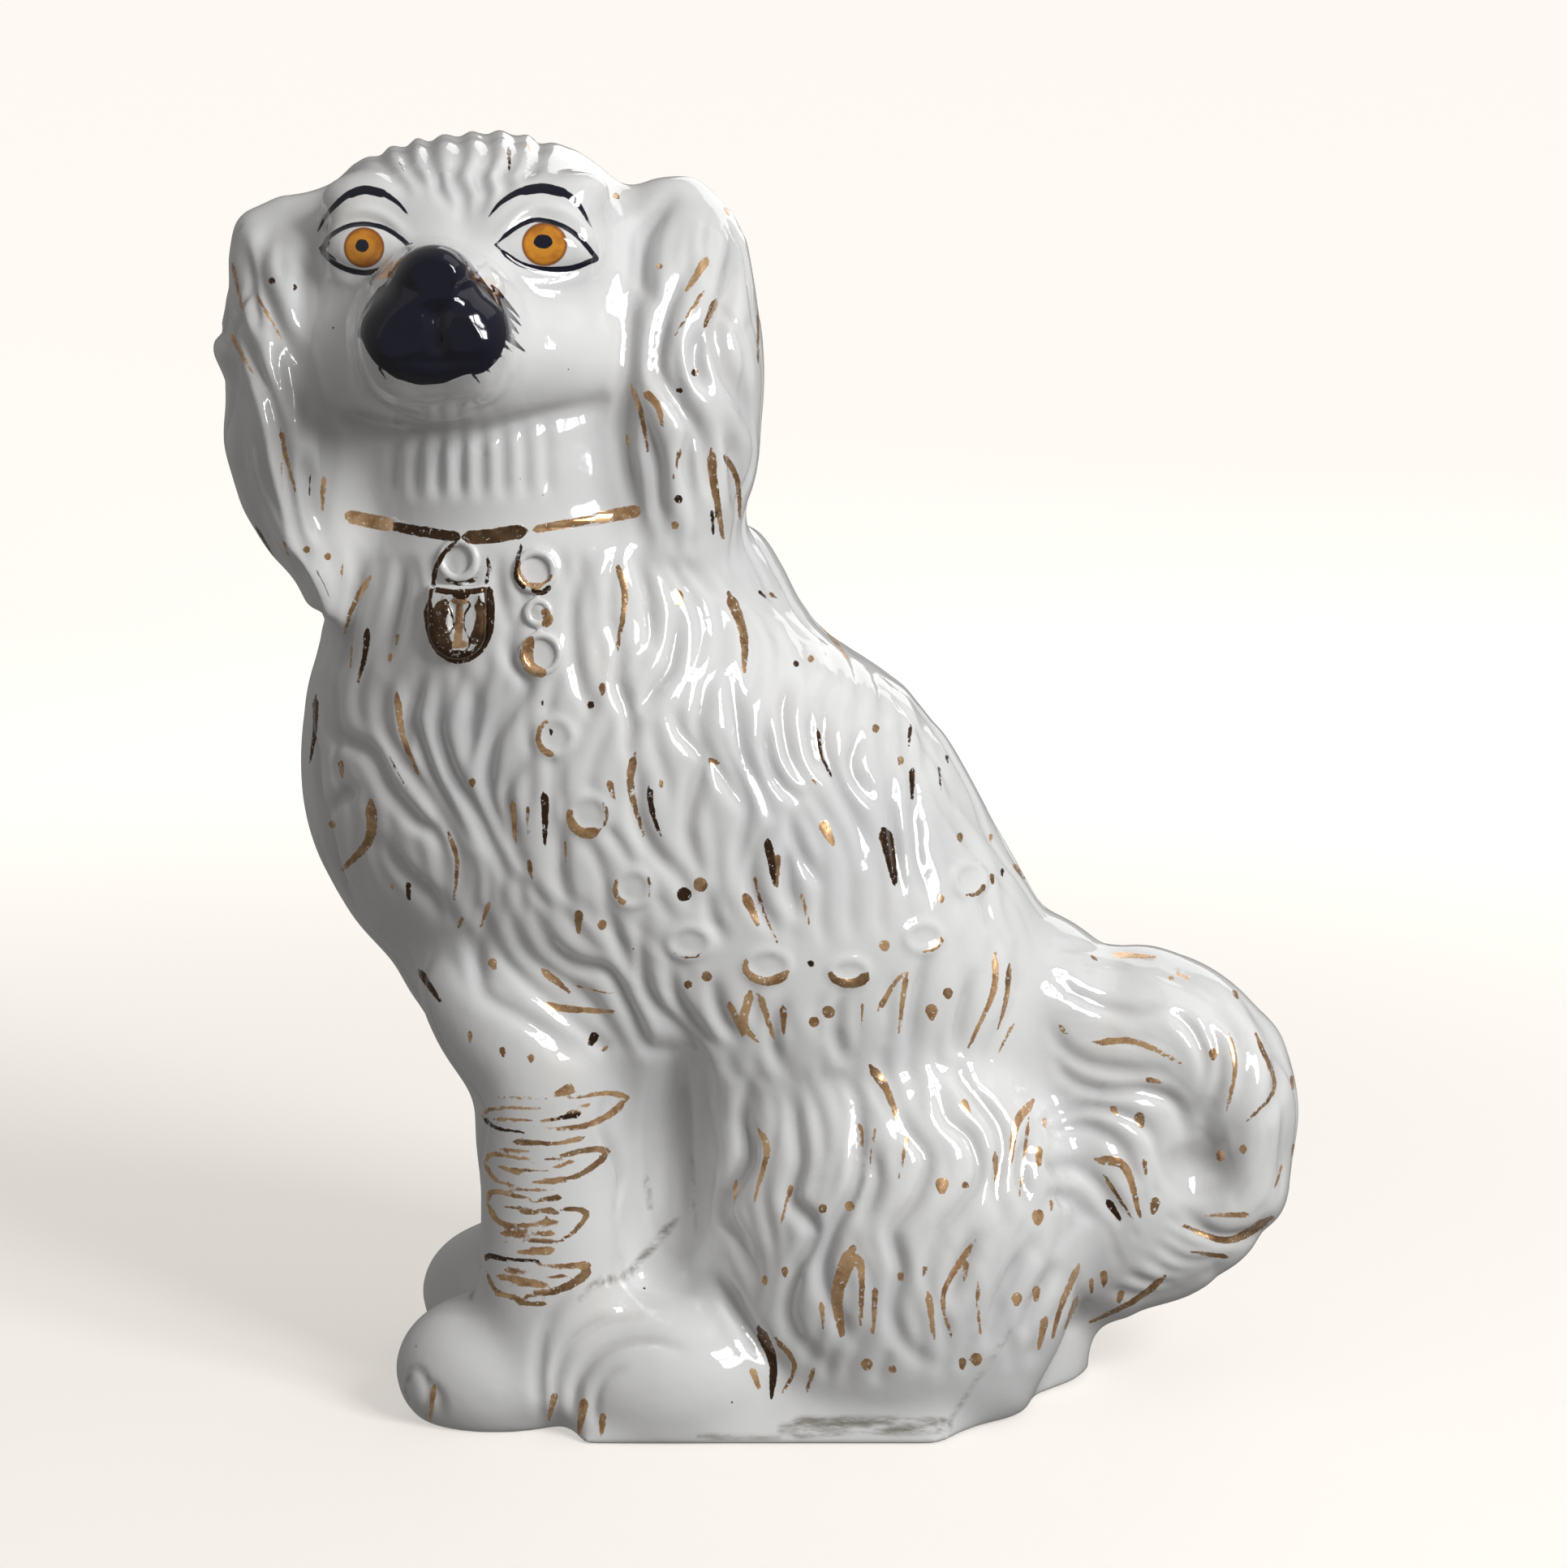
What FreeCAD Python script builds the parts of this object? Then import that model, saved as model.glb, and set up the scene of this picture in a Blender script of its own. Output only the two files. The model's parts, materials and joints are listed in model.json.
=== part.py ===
import FreeCAD, Part
import Sketcher
import math
import os

# A seated pottery spaniel for a mantelpiece, hollow, in white glazed earthenware.
# The body is two pressed half shells that meet on a parting plane at y = 0, closed
# below by a slab with a firing vent. The head is a second pair of shells, turned to
# look out of the decorated side and luted to the neck under the collar. The ears,
# the forelegs and the tail are pressed separately and luted on. The padlock, its
# shackle and the chain are sprigs that lie on the decorated side.
#
# X runs from the chest to the tail, Y from the decorated side to the plain one and
# Z up. The origin lies on the underside, on the parting plane. Lengths are in mm.

doc = FreeCAD.newDocument("mantel_spaniel")


# Driving dimensions

SIZES = {
    # body shells
    "bodyHeight": 224.0,  # underside to the neck joint
    "bodyLength": 204.0,  # breast to the tail end of the foot rim
    "bodyDepth": 116.0,
    "wallThickness": 6.0,
    "rimHeight": 12.0,  # smooth foot rim round the base
    "rimDraft": 24.0,  # degrees
    "rimDepth": 112.0,
    "rimFront": 44.0,  # origin to the front end of the foot rim
    "rimEnd": 88.0,  # origin to its point under the tail
    "rimCorner": 46.0,  # origin to its widest corner, level with the thigh
    "slabThickness": 7.0,
    "ventRadius": 5.0,
    "ventPlace": 22.0,
    # thighs and hind paws
    "thighHeight": 101.0,
    "thighLength": 98.0,
    "thighDepth": 70.0,
    "thighPlace": 33.0,  # origin to the middle of a thigh
    "thighSpread": 25.0,  # parting plane to the middle of a thigh
    "hindPawLength": 62.0,
    "hindPawWidth": 38.0,
    "hindPawHeight": 32.0,
    "hindPawPlace": 22.0,
    "hindPawSpread": 39.0,
    # forelegs
    "forelegHeight": 122.0,
    "forelegLength": 37.0,  # across the shank, along X
    "forelegDepth": 31.0,
    "forelegPlace": 52.0,
    "forelegSpread": 35.0,
    "forePawLength": 52.0,
    "forePawWidth": 39.0,
    "forePawHeight": 31.0,
    "forePawPlace": 65.0,
    # tail, curled up against the rump
    "tailPlace": 103.0,
    "tailRise": 63.0,  # underside to the middle of the curl
    "tailRadius": 35.5,  # middle of the curl to its outermost edge
    "tailDepth": 54.0,
    # head
    "headPlace": 69.5,
    "neckWidth": 97.0,
    "neckDepth": 100.0,
    "skullWidth": 101.0,
    "skullDepth": 98.0,
    "skullHeight": 107.0,
    "skullRise": 41.5,  # neck joint to the middle of the skull
    "jawWidth": 85.0,
    "jawDepth": 84.0,
    "jawHeight": 50.0,
    "jawRise": 41.0,
    "jawForward": 18.0,
    "faceWidth": 86.0,
    "faceDepth": 78.0,
    "faceHeight": 82.0,
    "faceRise": 52.0,
    "faceForward": 13.0,
    "muzzleWidth": 40.0,
    "muzzleHeight": 41.0,
    "muzzleDepth": 58.0,
    "muzzleRise": 47.5,
    "muzzleForward": 48.0,
    "muzzleTurn": 4.0,  # how far the muzzle stands towards the breast
    "flewWidth": 22.0,
    "flewDepth": 34.0,
    "flewHeight": 27.0,
    "flewSpread": 8.0,
    "noseWidth": 20.0,
    "noseDepth": 18.0,
    "noseHeight": 17.0,
    "noseRise": 11.0,  # middle of the muzzle to the middle of the nose
    "eyeWidth": 25.0,
    "eyeHeight": 15.0,
    "eyeDepth": 13.0,
    "eyeRise": 66.5,
    "eyeSpread": 21.0,
    "eyeForward": 39.0,
    "browWidth": 29.0,
    "browDepth": 20.0,
    "browHeight": 11.0,
    "browRise": 78.0,
    "browForward": 30.0,
    # ears
    "earLength": 104.0,
    "earWidth": 42.0,
    "earDepth": 64.0,
    "earSpread": 46.5,
    "earForward": 14.0,
    "earRise": 80.0,
    "earOffset": 3.0,  # both ears stand towards the tail by this much
    # collar, padlock and chain
    "collarHeight": 4.4,
    "collarProud": 2.0,
    "padlockWidth": 15.0,
    "padlockHeight": 18.0,
    "padlockThickness": 5.0,
    "padlockRounding": 1.6,
    "padlockPlace": 70.4,
    "padlockDrop": 22.8,  # neck joint to the middle of the rounded foot of the lock
    "padlockBed": 1.6,  # how deep it is pressed into the breast
    "keyholeRadius": 1.7,
    "keyholeLength": 5.5,
    "keyholeDepth": 1.4,
    "shackleRadius": 4.4,
    "shackleWire": 1.1,
    "shackleDrop": 6.6,
    "linkRadius": 4.4,
    "linkWire": 1.2,
    "smallLinkRadius": 2.7,
    "smallLinkWire": 1.0,
    # cuts run past the solids by this much
    "overrun": 10.0,
}

sheet = doc.addObject("Spreadsheet::Sheet", "Sizes")
for row, (alias, value) in enumerate(SIZES.items(), start=1):
    sheet.set(f"A{row}", alias)
    sheet.set(f"B{row}", str(value))
    sheet.setAlias(f"B{row}", alias)
doc.recompute()


def size(alias):
    """One driving dimension, as the sheet holds it."""
    return float(sheet.get(alias))


def of(share, alias):
    """Expression for a share of a driving dimension."""
    return f"({share}) * Sizes.{alias}"


# Building blocks

UP = FreeCAD.Vector(0, 0, 1)
ACROSS = FreeCAD.Vector(0, 1, 0)


def value(expression):
    """What an expression comes to with the present sizes."""
    return float(sheet.evalExpression(expression))


def place(thing, x="0", y="0", z="0"):
    """Binds the place of a document object to the sheet."""
    for key, expression in (("x", x), ("y", y), ("z", z)):
        thing.setExpression(f"Placement.Base.{key}", expression)
    return thing


def oval(name, half_x, half_y, x="0", y="0", z="0", tilt=0):
    """A flat oval, as a section for a loft, tilted about Y by an angle in degrees."""
    ring = doc.addObject("Part::Ellipse", name)
    lengthwise = value(half_x) >= value(half_y)
    ring.setExpression("MajorRadius", half_x if lengthwise else half_y)
    ring.setExpression("MinorRadius", half_y if lengthwise else half_x)
    turn = FreeCAD.Rotation(UP, 0 if lengthwise else 90)
    ring.Placement.Rotation = FreeCAD.Rotation(ACROSS, tilt) * turn
    return place(ring, x, y, z)


def loft(name, sections):
    """A solid skinned smoothly through ovals."""
    skin = doc.addObject("Part::Loft", name)
    skin.Sections = sections
    skin.Solid = True
    skin.Ruled = False
    return skin


def egg(name, long_x, long_y, long_z, x, y, z):
    """An ellipsoid with full lengths along the three axes."""
    ball = doc.addObject("Part::Ellipsoid", name)
    ball.setExpression("Radius1", f"({long_z}) / 2")
    ball.setExpression("Radius2", f"({long_x}) / 2")
    ball.setExpression("Radius3", f"({long_y}) / 2")
    ball.Angle1 = -90
    ball.Angle2 = 90
    return place(ball, x, y, z)


def block(name, low, high):
    """A block between two corners, each of three expressions."""
    box = doc.addObject("Part::Box", name)
    for side, a, b in zip(("Length", "Width", "Height"), low, high):
        box.setExpression(side, f"({b}) - ({a})")
    return place(box, *low)


def fuse(name, *solids):
    joined = doc.addObject("Part::MultiFuse", name)
    joined.Shapes = list(solids)
    joined.Refine = False
    return joined


def common(name, base, tool):
    shared = doc.addObject("Part::Common", name)
    shared.Base = base
    shared.Tool = tool
    shared.Refine = False
    return shared


def cut(name, base, tool):
    rest = doc.addObject("Part::Cut", name)
    rest.Base = base
    rest.Tool = tool
    rest.Refine = False
    return rest


nodes = {}


def piece(label, thing):
    """Names a finished piece."""
    thing.Label = label
    nodes[label] = thing
    return thing


# Cutting blocks: the far bounds clear the whole figure

REACH = "(Sizes.bodyLength + Sizes.overrun)"
TOP = "(2 * Sizes.bodyHeight + Sizes.overrun)"
NECK = "Sizes.bodyHeight"

near_half = block("NearHalf", (f"-{REACH}", f"-{REACH}", "0"), (REACH, "0", TOP))
far_half = block("FarHalf", (f"-{REACH}", "0", "0"), (REACH, REACH, TOP))
near_head_half = block("NearHeadHalf", (f"-{REACH}", f"-{REACH}", NECK), (REACH, "0", TOP))
far_head_half = block("FarHeadHalf", (f"-{REACH}", "0", NECK), (REACH, REACH, TOP))
above_ground = block("AboveGround", (f"-{REACH}", f"-{REACH}", "0"), (REACH, REACH, TOP))


# Body

# breast, back and half depth of evenly spaced levels, as shares of the body's length and
# depth; the second lies on the ground and the last but one at the neck joint
TORSO_SHARES = (
    (-0.284, 0.422, 0.284),
    (-0.284, 0.422, 0.284),
    (-0.287, 0.422, 0.284),
    (-0.297, 0.422, 0.289),
    (-0.319, 0.422, 0.310),
    (-0.358, 0.419, 0.353),
    (-0.409, 0.407, 0.418),
    (-0.473, 0.382, 0.461),
    (-0.532, 0.338, 0.487),
    (-0.564, 0.287, 0.500),
    (-0.567, 0.235, 0.500),
    (-0.555, 0.152, 0.483),
    (-0.547, 0.059, 0.461),
    (-0.520, -0.044, 0.431),
    (-0.480, -0.120, 0.400),
)


def torso(name, levels, inset):
    """The trunk, or its hollow inside, drawn in by a wall's thickness."""
    steps = len(TORSO_SHARES) - 3
    sections = []
    for number, (breast, back, depth) in enumerate(levels):
        middle = of((breast + back) / 2, "bodyLength")
        half_x = of((back - breast) / 2, "bodyLength") + f" - {inset}"
        half_y = of(depth, "bodyDepth") + f" - {inset}"
        level = of((number - 1) / steps, "bodyHeight")
        sections.append(oval(f"{name}{number}", half_x, half_y, x=middle, z=level))
    return loft(name, sections)


def thigh(name, side, inset):
    """One thigh, an egg that stands on the ground."""
    return egg(
        name,
        f"Sizes.thighLength - 2 * {inset}",
        f"Sizes.thighDepth - 2 * {inset}",
        f"1.16 * Sizes.thighHeight - 2 * {inset}",
        "Sizes.thighPlace",
        f"{side} * Sizes.thighSpread",
        "0.42 * Sizes.thighHeight",
    )


def paw(name, prefix, side, spread):
    """One paw, rounded above and cut flat on the ground."""
    return egg(
        name,
        f"Sizes.{prefix}Length",
        f"Sizes.{prefix}Width",
        f"1.24 * Sizes.{prefix}Height",
        f"-Sizes.{prefix}Place",
        f"{side} * Sizes.{spread}",
        f"0.38 * Sizes.{prefix}Height",
    )


def foot_rim():
    """The smooth rim under the fur: six corners, pointed under the tail, drafted inwards."""
    body = doc.addObject("PartDesign::Body", "FootRim")
    sketch = body.newObject("Sketcher::SketchObject", "FootRimPlan")
    planes = {plane.Role: plane for plane in body.Origin.OriginFeatures}
    sketch.AttachmentSupport = [(planes["XY_Plane"], "")]
    sketch.MapMode = "FlatFace"
    corners = (
        ("-Sizes.rimFront", "-Sizes.rimDepth / 2"),
        ("Sizes.rimCorner", "-Sizes.rimDepth / 2"),
        ("Sizes.rimEnd", "0"),
        ("Sizes.rimCorner", "Sizes.rimDepth / 2"),
        ("-Sizes.rimFront", "Sizes.rimDepth / 2"),
        ("-1.36 * Sizes.rimFront", "0"),
    )
    spots = [FreeCAD.Vector(value(x), value(y), 0) for x, y in corners]
    for start, end in zip(spots, spots[1:] + spots[:1]):
        sketch.addGeometry(Part.LineSegment(start, end))
    for line in range(len(corners)):
        follower = (line + 1) % len(corners)
        sketch.addConstraint(Sketcher.Constraint("Coincident", line, 2, follower, 1))
    for line, (x, y) in enumerate(corners):
        for kind, expression in (("DistanceX", x), ("DistanceY", y)):
            if expression == "0":
                sketch.addConstraint(Sketcher.Constraint("PointOnObject", line, 1, -1))
                continue
            offset = value(expression)
            index = sketch.addConstraint(Sketcher.Constraint(kind, -1, 1, line, 1, offset))
            sketch.setExpression(f"Constraints[{index}]", expression)
    pad = body.newObject("PartDesign::Pad", "FootRimPad")
    pad.Profile = sketch
    pad.setExpression("Length", "Sizes.rimHeight")
    pad.setExpression("TaperAngle", "-Sizes.rimDraft")
    return body


NONE = "0"
WALL = "Sizes.wallThickness"

trunk = torso("Trunk", TORSO_SHARES[:-1], NONE)
body_parts = [trunk, foot_rim()]
hollows = [torso("TrunkHollow", TORSO_SHARES, WALL)]
for key, side in (("Near", -1), ("Far", 1)):
    body_parts.append(thigh(f"Thigh{key}", side, NONE))
    body_parts.append(paw(f"HindPaw{key}", "hindPaw", side, "hindPawSpread"))
    hollows.append(thigh(f"ThighHollow{key}", side, WALL))

body_form = fuse("BodyForm", *body_parts)
body_hollow = fuse("BodyHollow", *hollows)
for key, label, half in (
    ("Near", "body_front_shell", near_half),
    ("Far", "body_back_shell", far_half),
):
    half_body = common(f"HalfBody{key}", body_form, half)
    piece(label, cut(f"BodyShell{key}", half_body, body_hollow))

# The slab closes the hollow, flush with the underside
slab_space = block(
    "SlabSpace",
    (f"-{REACH}", f"-{REACH}", "0"),
    (REACH, REACH, "Sizes.slabThickness"),
)
slab_blank = common("SlabBlank", body_hollow, slab_space)
vent = doc.addObject("Part::Cylinder", "Vent")
vent.setExpression("Radius", "Sizes.ventRadius")
vent.setExpression("Height", "Sizes.slabThickness + 2 * Sizes.overrun")
place(vent, x="Sizes.ventPlace", z="-Sizes.overrun")
piece("base_slab", cut("BaseSlab", slab_blank, vent))


# Forelegs

# height, place and half length, spread and half depth, as shares of the foreleg's sizes
FORELEG_SHARES = (
    (0.06, 1.00, 0.50, 1.00, 0.52),
    (0.25, 1.00, 0.48, 1.00, 0.50),
    (0.49, 0.99, 0.46, 1.02, 0.48),
    (0.66, 1.02, 0.51, 1.02, 0.53),
    (0.81, 1.10, 0.60, 0.99, 0.60),
    (1.00, 1.22, 0.50, 0.66, 0.48),
)


def foreleg(name, side):
    """A shank that swells into the elbow, with its paw, cut flat on the ground."""
    sections = []
    for number, (height, along, length, spread, depth) in enumerate(FORELEG_SHARES):
        sections.append(
            oval(
                f"{name}{number}",
                of(length, "forelegLength"),
                of(depth, "forelegDepth"),
                x=of(-along, "forelegPlace"),
                y=of(side * spread, "forelegSpread"),
                z=of(height, "forelegHeight"),
            )
        )
    shank = loft(f"{name}Shank", sections)
    foot = paw(f"{name}Paw", "forePaw", side, "forelegSpread * 0.89")
    return common(f"{name}Grounded", fuse(f"{name}Whole", shank, foot), above_ground)


for key, label, side in (("Near", "left_foreleg", -1), ("Far", "right_foreleg", 1)):
    leg = foreleg(f"Foreleg{key}", side)
    piece(label, cut(f"ForelegSeated{key}", leg, body_form))


# Tail

# angle round the curl, then the outer and inner edge and the half depth as shares
# of the tail's radius and depth
TAIL_SHARES = (
    (-140, 1.20, 0.44, 0.28),
    (-105, 1.32, 0.28, 0.37),
    (-70, 1.16, 0.20, 0.41),
    (-35, 1.10, 0.16, 0.44),
    (0, 1.02, 0.14, 0.47),
    (35, 1.18, 0.14, 0.50),
    (70, 1.34, 0.14, 0.51),
    (105, 1.44, 0.14, 0.50),
    (140, 1.60, 0.14, 0.46),
)


def tail():
    """A brush curled up against the rump, its tip tucked under, with a dimple at its middle."""
    sections = []
    for number, (angle, outer, inner, depth) in enumerate(TAIL_SHARES):
        middle = of((outer + inner) / 2, "tailRadius")
        sections.append(
            oval(
                f"Tail{number}",
                of((outer - inner) / 2, "tailRadius"),
                of(depth, "tailDepth"),
                x=f"Sizes.tailPlace + {middle} * cos({angle} deg)",
                z=f"Sizes.tailRise + {middle} * sin({angle} deg)",
                tilt=-angle,
            )
        )
    brush = loft("TailBrush", sections)
    dimple = egg(
        "TailDimple",
        "1.25 * Sizes.tailRadius",
        "0.8 * Sizes.tailDepth",
        "1.35 * Sizes.tailRadius",
        "Sizes.tailPlace - 0.1 * Sizes.tailRadius",
        "0",
        "Sizes.tailRise",
    )
    return fuse("TailWhole", brush, dimple)


piece("tail", cut("TailSeated", tail(), body_form))


# Head

# height above the neck joint, place, half width and half depth, as shares of the
# skull's rise, the head's place and the neck's sizes
NECK_SHARES = (
    (0.00, 0.827, 0.500, 0.500),
    (0.29, 0.878, 0.480, 0.500),
    (0.63, 0.950, 0.484, 0.500),
    (1.00, 1.000, 0.505, 0.480),
)


def neck(name, inset):
    """The ruff, from the neck joint up into the skull."""
    sections = []
    for number, (height, along, width, depth) in enumerate(NECK_SHARES):
        sections.append(
            oval(
                f"{name}{number}",
                of(width, "neckWidth") + f" - {inset}",
                of(depth, "neckDepth") + f" - {inset}",
                x=of(-along, "headPlace"),
                z=f"{NECK} + {of(height, 'skullRise')}",
            )
        )
    return loft(name, sections)


def skull(name, inset):
    return egg(
        name,
        f"Sizes.skullWidth - 2 * {inset}",
        f"Sizes.skullDepth - 2 * {inset}",
        f"Sizes.skullHeight - 2 * {inset}",
        "-Sizes.headPlace",
        "0",
        f"{NECK} + Sizes.skullRise",
    )


def feature(name, prefix, x, y, z):
    """A swelling of the face."""
    return egg(
        name,
        f"Sizes.{prefix}Width",
        f"Sizes.{prefix}Depth",
        f"Sizes.{prefix}Height",
        x,
        y,
        z,
    )


MIDLINE = "-Sizes.headPlace"
MUZZLE_MIDLINE = "-(Sizes.headPlace + Sizes.muzzleTurn)"

head_parts = [
    neck("Neck", NONE),
    skull("Skull", NONE),
    feature("Face", "face", MIDLINE, "-Sizes.faceForward", f"{NECK} + Sizes.faceRise"),
    feature("Jaw", "jaw", MIDLINE, "-Sizes.jawForward", f"{NECK} + Sizes.jawRise"),
    feature("Muzzle", "muzzle", MUZZLE_MIDLINE, "-Sizes.muzzleForward", f"{NECK} + Sizes.muzzleRise"),
    feature(
        "Nose",
        "nose",
        MUZZLE_MIDLINE,
        "-(Sizes.muzzleForward + 0.34 * Sizes.muzzleDepth)",
        f"{NECK} + Sizes.muzzleRise + Sizes.noseRise",
    ),
]
for key, side in (("Right", -1), ("Left", 1)):
    head_parts.append(
        feature(
            f"Flew{key}",
            "flew",
            f"{MUZZLE_MIDLINE} + {side} * Sizes.flewSpread",
            "-(Sizes.muzzleForward + 0.18 * Sizes.muzzleDepth)",
            f"{NECK} + Sizes.muzzleRise - 0.1 * Sizes.muzzleHeight",
        )
    )
    head_parts.append(
        feature(
            f"Eye{key}",
            "eye",
            f"{MIDLINE} + {side} * Sizes.eyeSpread",
            "-Sizes.eyeForward",
            f"{NECK} + Sizes.eyeRise",
        )
    )
    head_parts.append(
        feature(
            f"Brow{key}",
            "brow",
            f"{MIDLINE} + {side} * Sizes.eyeSpread",
            "-Sizes.browForward",
            f"{NECK} + Sizes.browRise",
        )
    )

head_form = fuse("HeadForm", *head_parts)
head_hollow = fuse("HeadHollow", neck("NeckHollow", WALL), skull("SkullHollow", WALL))
for key, label, half in (
    ("Near", "head_front_shell", near_head_half),
    ("Far", "head_back_shell", far_head_half),
):
    half_head = common(f"HalfHead{key}", head_form, half)
    piece(label, cut(f"HeadShell{key}", half_head, head_hollow))

# Collar

# how far its edges lie above the neck joint, as shares of its height
COLLAR_SHARES = (0.1, 1.1)

collar_sections = [
    oval(
        f"Collar{number}",
        "Sizes.neckWidth / 2 + Sizes.collarProud",
        "Sizes.neckDepth / 2 + Sizes.collarProud",
        x=of(-NECK_SHARES[0][1], "headPlace"),
        z=f"{NECK} + ({level}) * Sizes.collarHeight",
    )
    for number, level in enumerate(COLLAR_SHARES)
]
collar_band = loft("CollarBand", collar_sections)
collar = cut("CollarSeated", collar_band, head_form)
piece("collar_strap", collar)


# Ears

# height, spread and half width, half depth, as shares of the ear's sizes; the last
# is how far the ear lies forward
EAR_SHARES = (
    (0.00, 0.88, 0.20, 0.14, 2.00),
    (0.12, 0.93, 0.35, 0.30, 1.75),
    (0.24, 0.97, 0.43, 0.42, 1.45),
    (0.36, 0.99, 0.48, 0.48, 1.25),
    (0.51, 1.00, 0.50, 0.50, 1.15),
    (0.66, 1.00, 0.50, 0.47, 1.00),
    (0.80, 0.98, 0.44, 0.39, 0.80),
    (0.91, 0.97, 0.31, 0.26, 0.50),
    (1.00, 0.97, 0.13, 0.12, 0.30),
)


def ear(name, side):
    """A long drooping ear, widest below its root."""
    sections = []
    for number, (height, spread, width, depth, forward) in enumerate(EAR_SHARES):
        sections.append(
            oval(
                f"{name}{number}",
                of(width, "earWidth"),
                of(depth, "earDepth"),
                x=f"-Sizes.headPlace + Sizes.earOffset + {of(side * spread, 'earSpread')}",
                y=of(-forward, "earForward"),
                z=f"{NECK} + Sizes.earRise + {of(height - 1, 'earLength')}",
            )
        )
    return loft(name, sections)


for key, label, side in (("Right", "right_ear", -1), ("Left", "left_ear", 1)):
    trimmed = ear(f"Ear{key}", side)
    for number, neighbour in enumerate((trunk, head_form, collar_band)):
        trimmed = cut(f"EarCut{key}{number}", trimmed, neighbour)
    piece(label, trimmed)


# Padlock, shackle and chain

doc.recompute()
trunk_side = max(trunk.Shape.Faces, key=lambda face: face.Area)


def on_breast(x, z):
    """The point of the decorated side at x and z, and the outward direction there."""
    outside = FreeCAD.Vector(x, -value(REACH), z)
    inside = FreeCAD.Vector(x, 0, z)
    ray = Part.makeLine(outside, inside)
    point = ray.distToShape(trunk_side)[1][0][0]
    u, v = trunk_side.Surface.parameter(point)
    return point, trunk_side.normalAt(u, v)


def seated(x, z, lift):
    """A placement on the breast, its Y axis up the fur and its Z axis outwards."""
    point, outward = on_breast(x, z)
    sideways = UP.cross(outward)
    upward = outward.cross(sideways)
    turn = FreeCAD.Rotation(sideways, upward, outward, "ZXY")
    return FreeCAD.Placement(point + outward * lift, turn)


def ring(name, radius, wire, placement):
    hoop = doc.addObject("Part::Torus", name)
    hoop.setExpression("Radius1", f"Sizes.{radius}")
    hoop.setExpression("Radius2", f"Sizes.{wire}")
    hoop.Placement = placement
    return hoop


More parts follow.
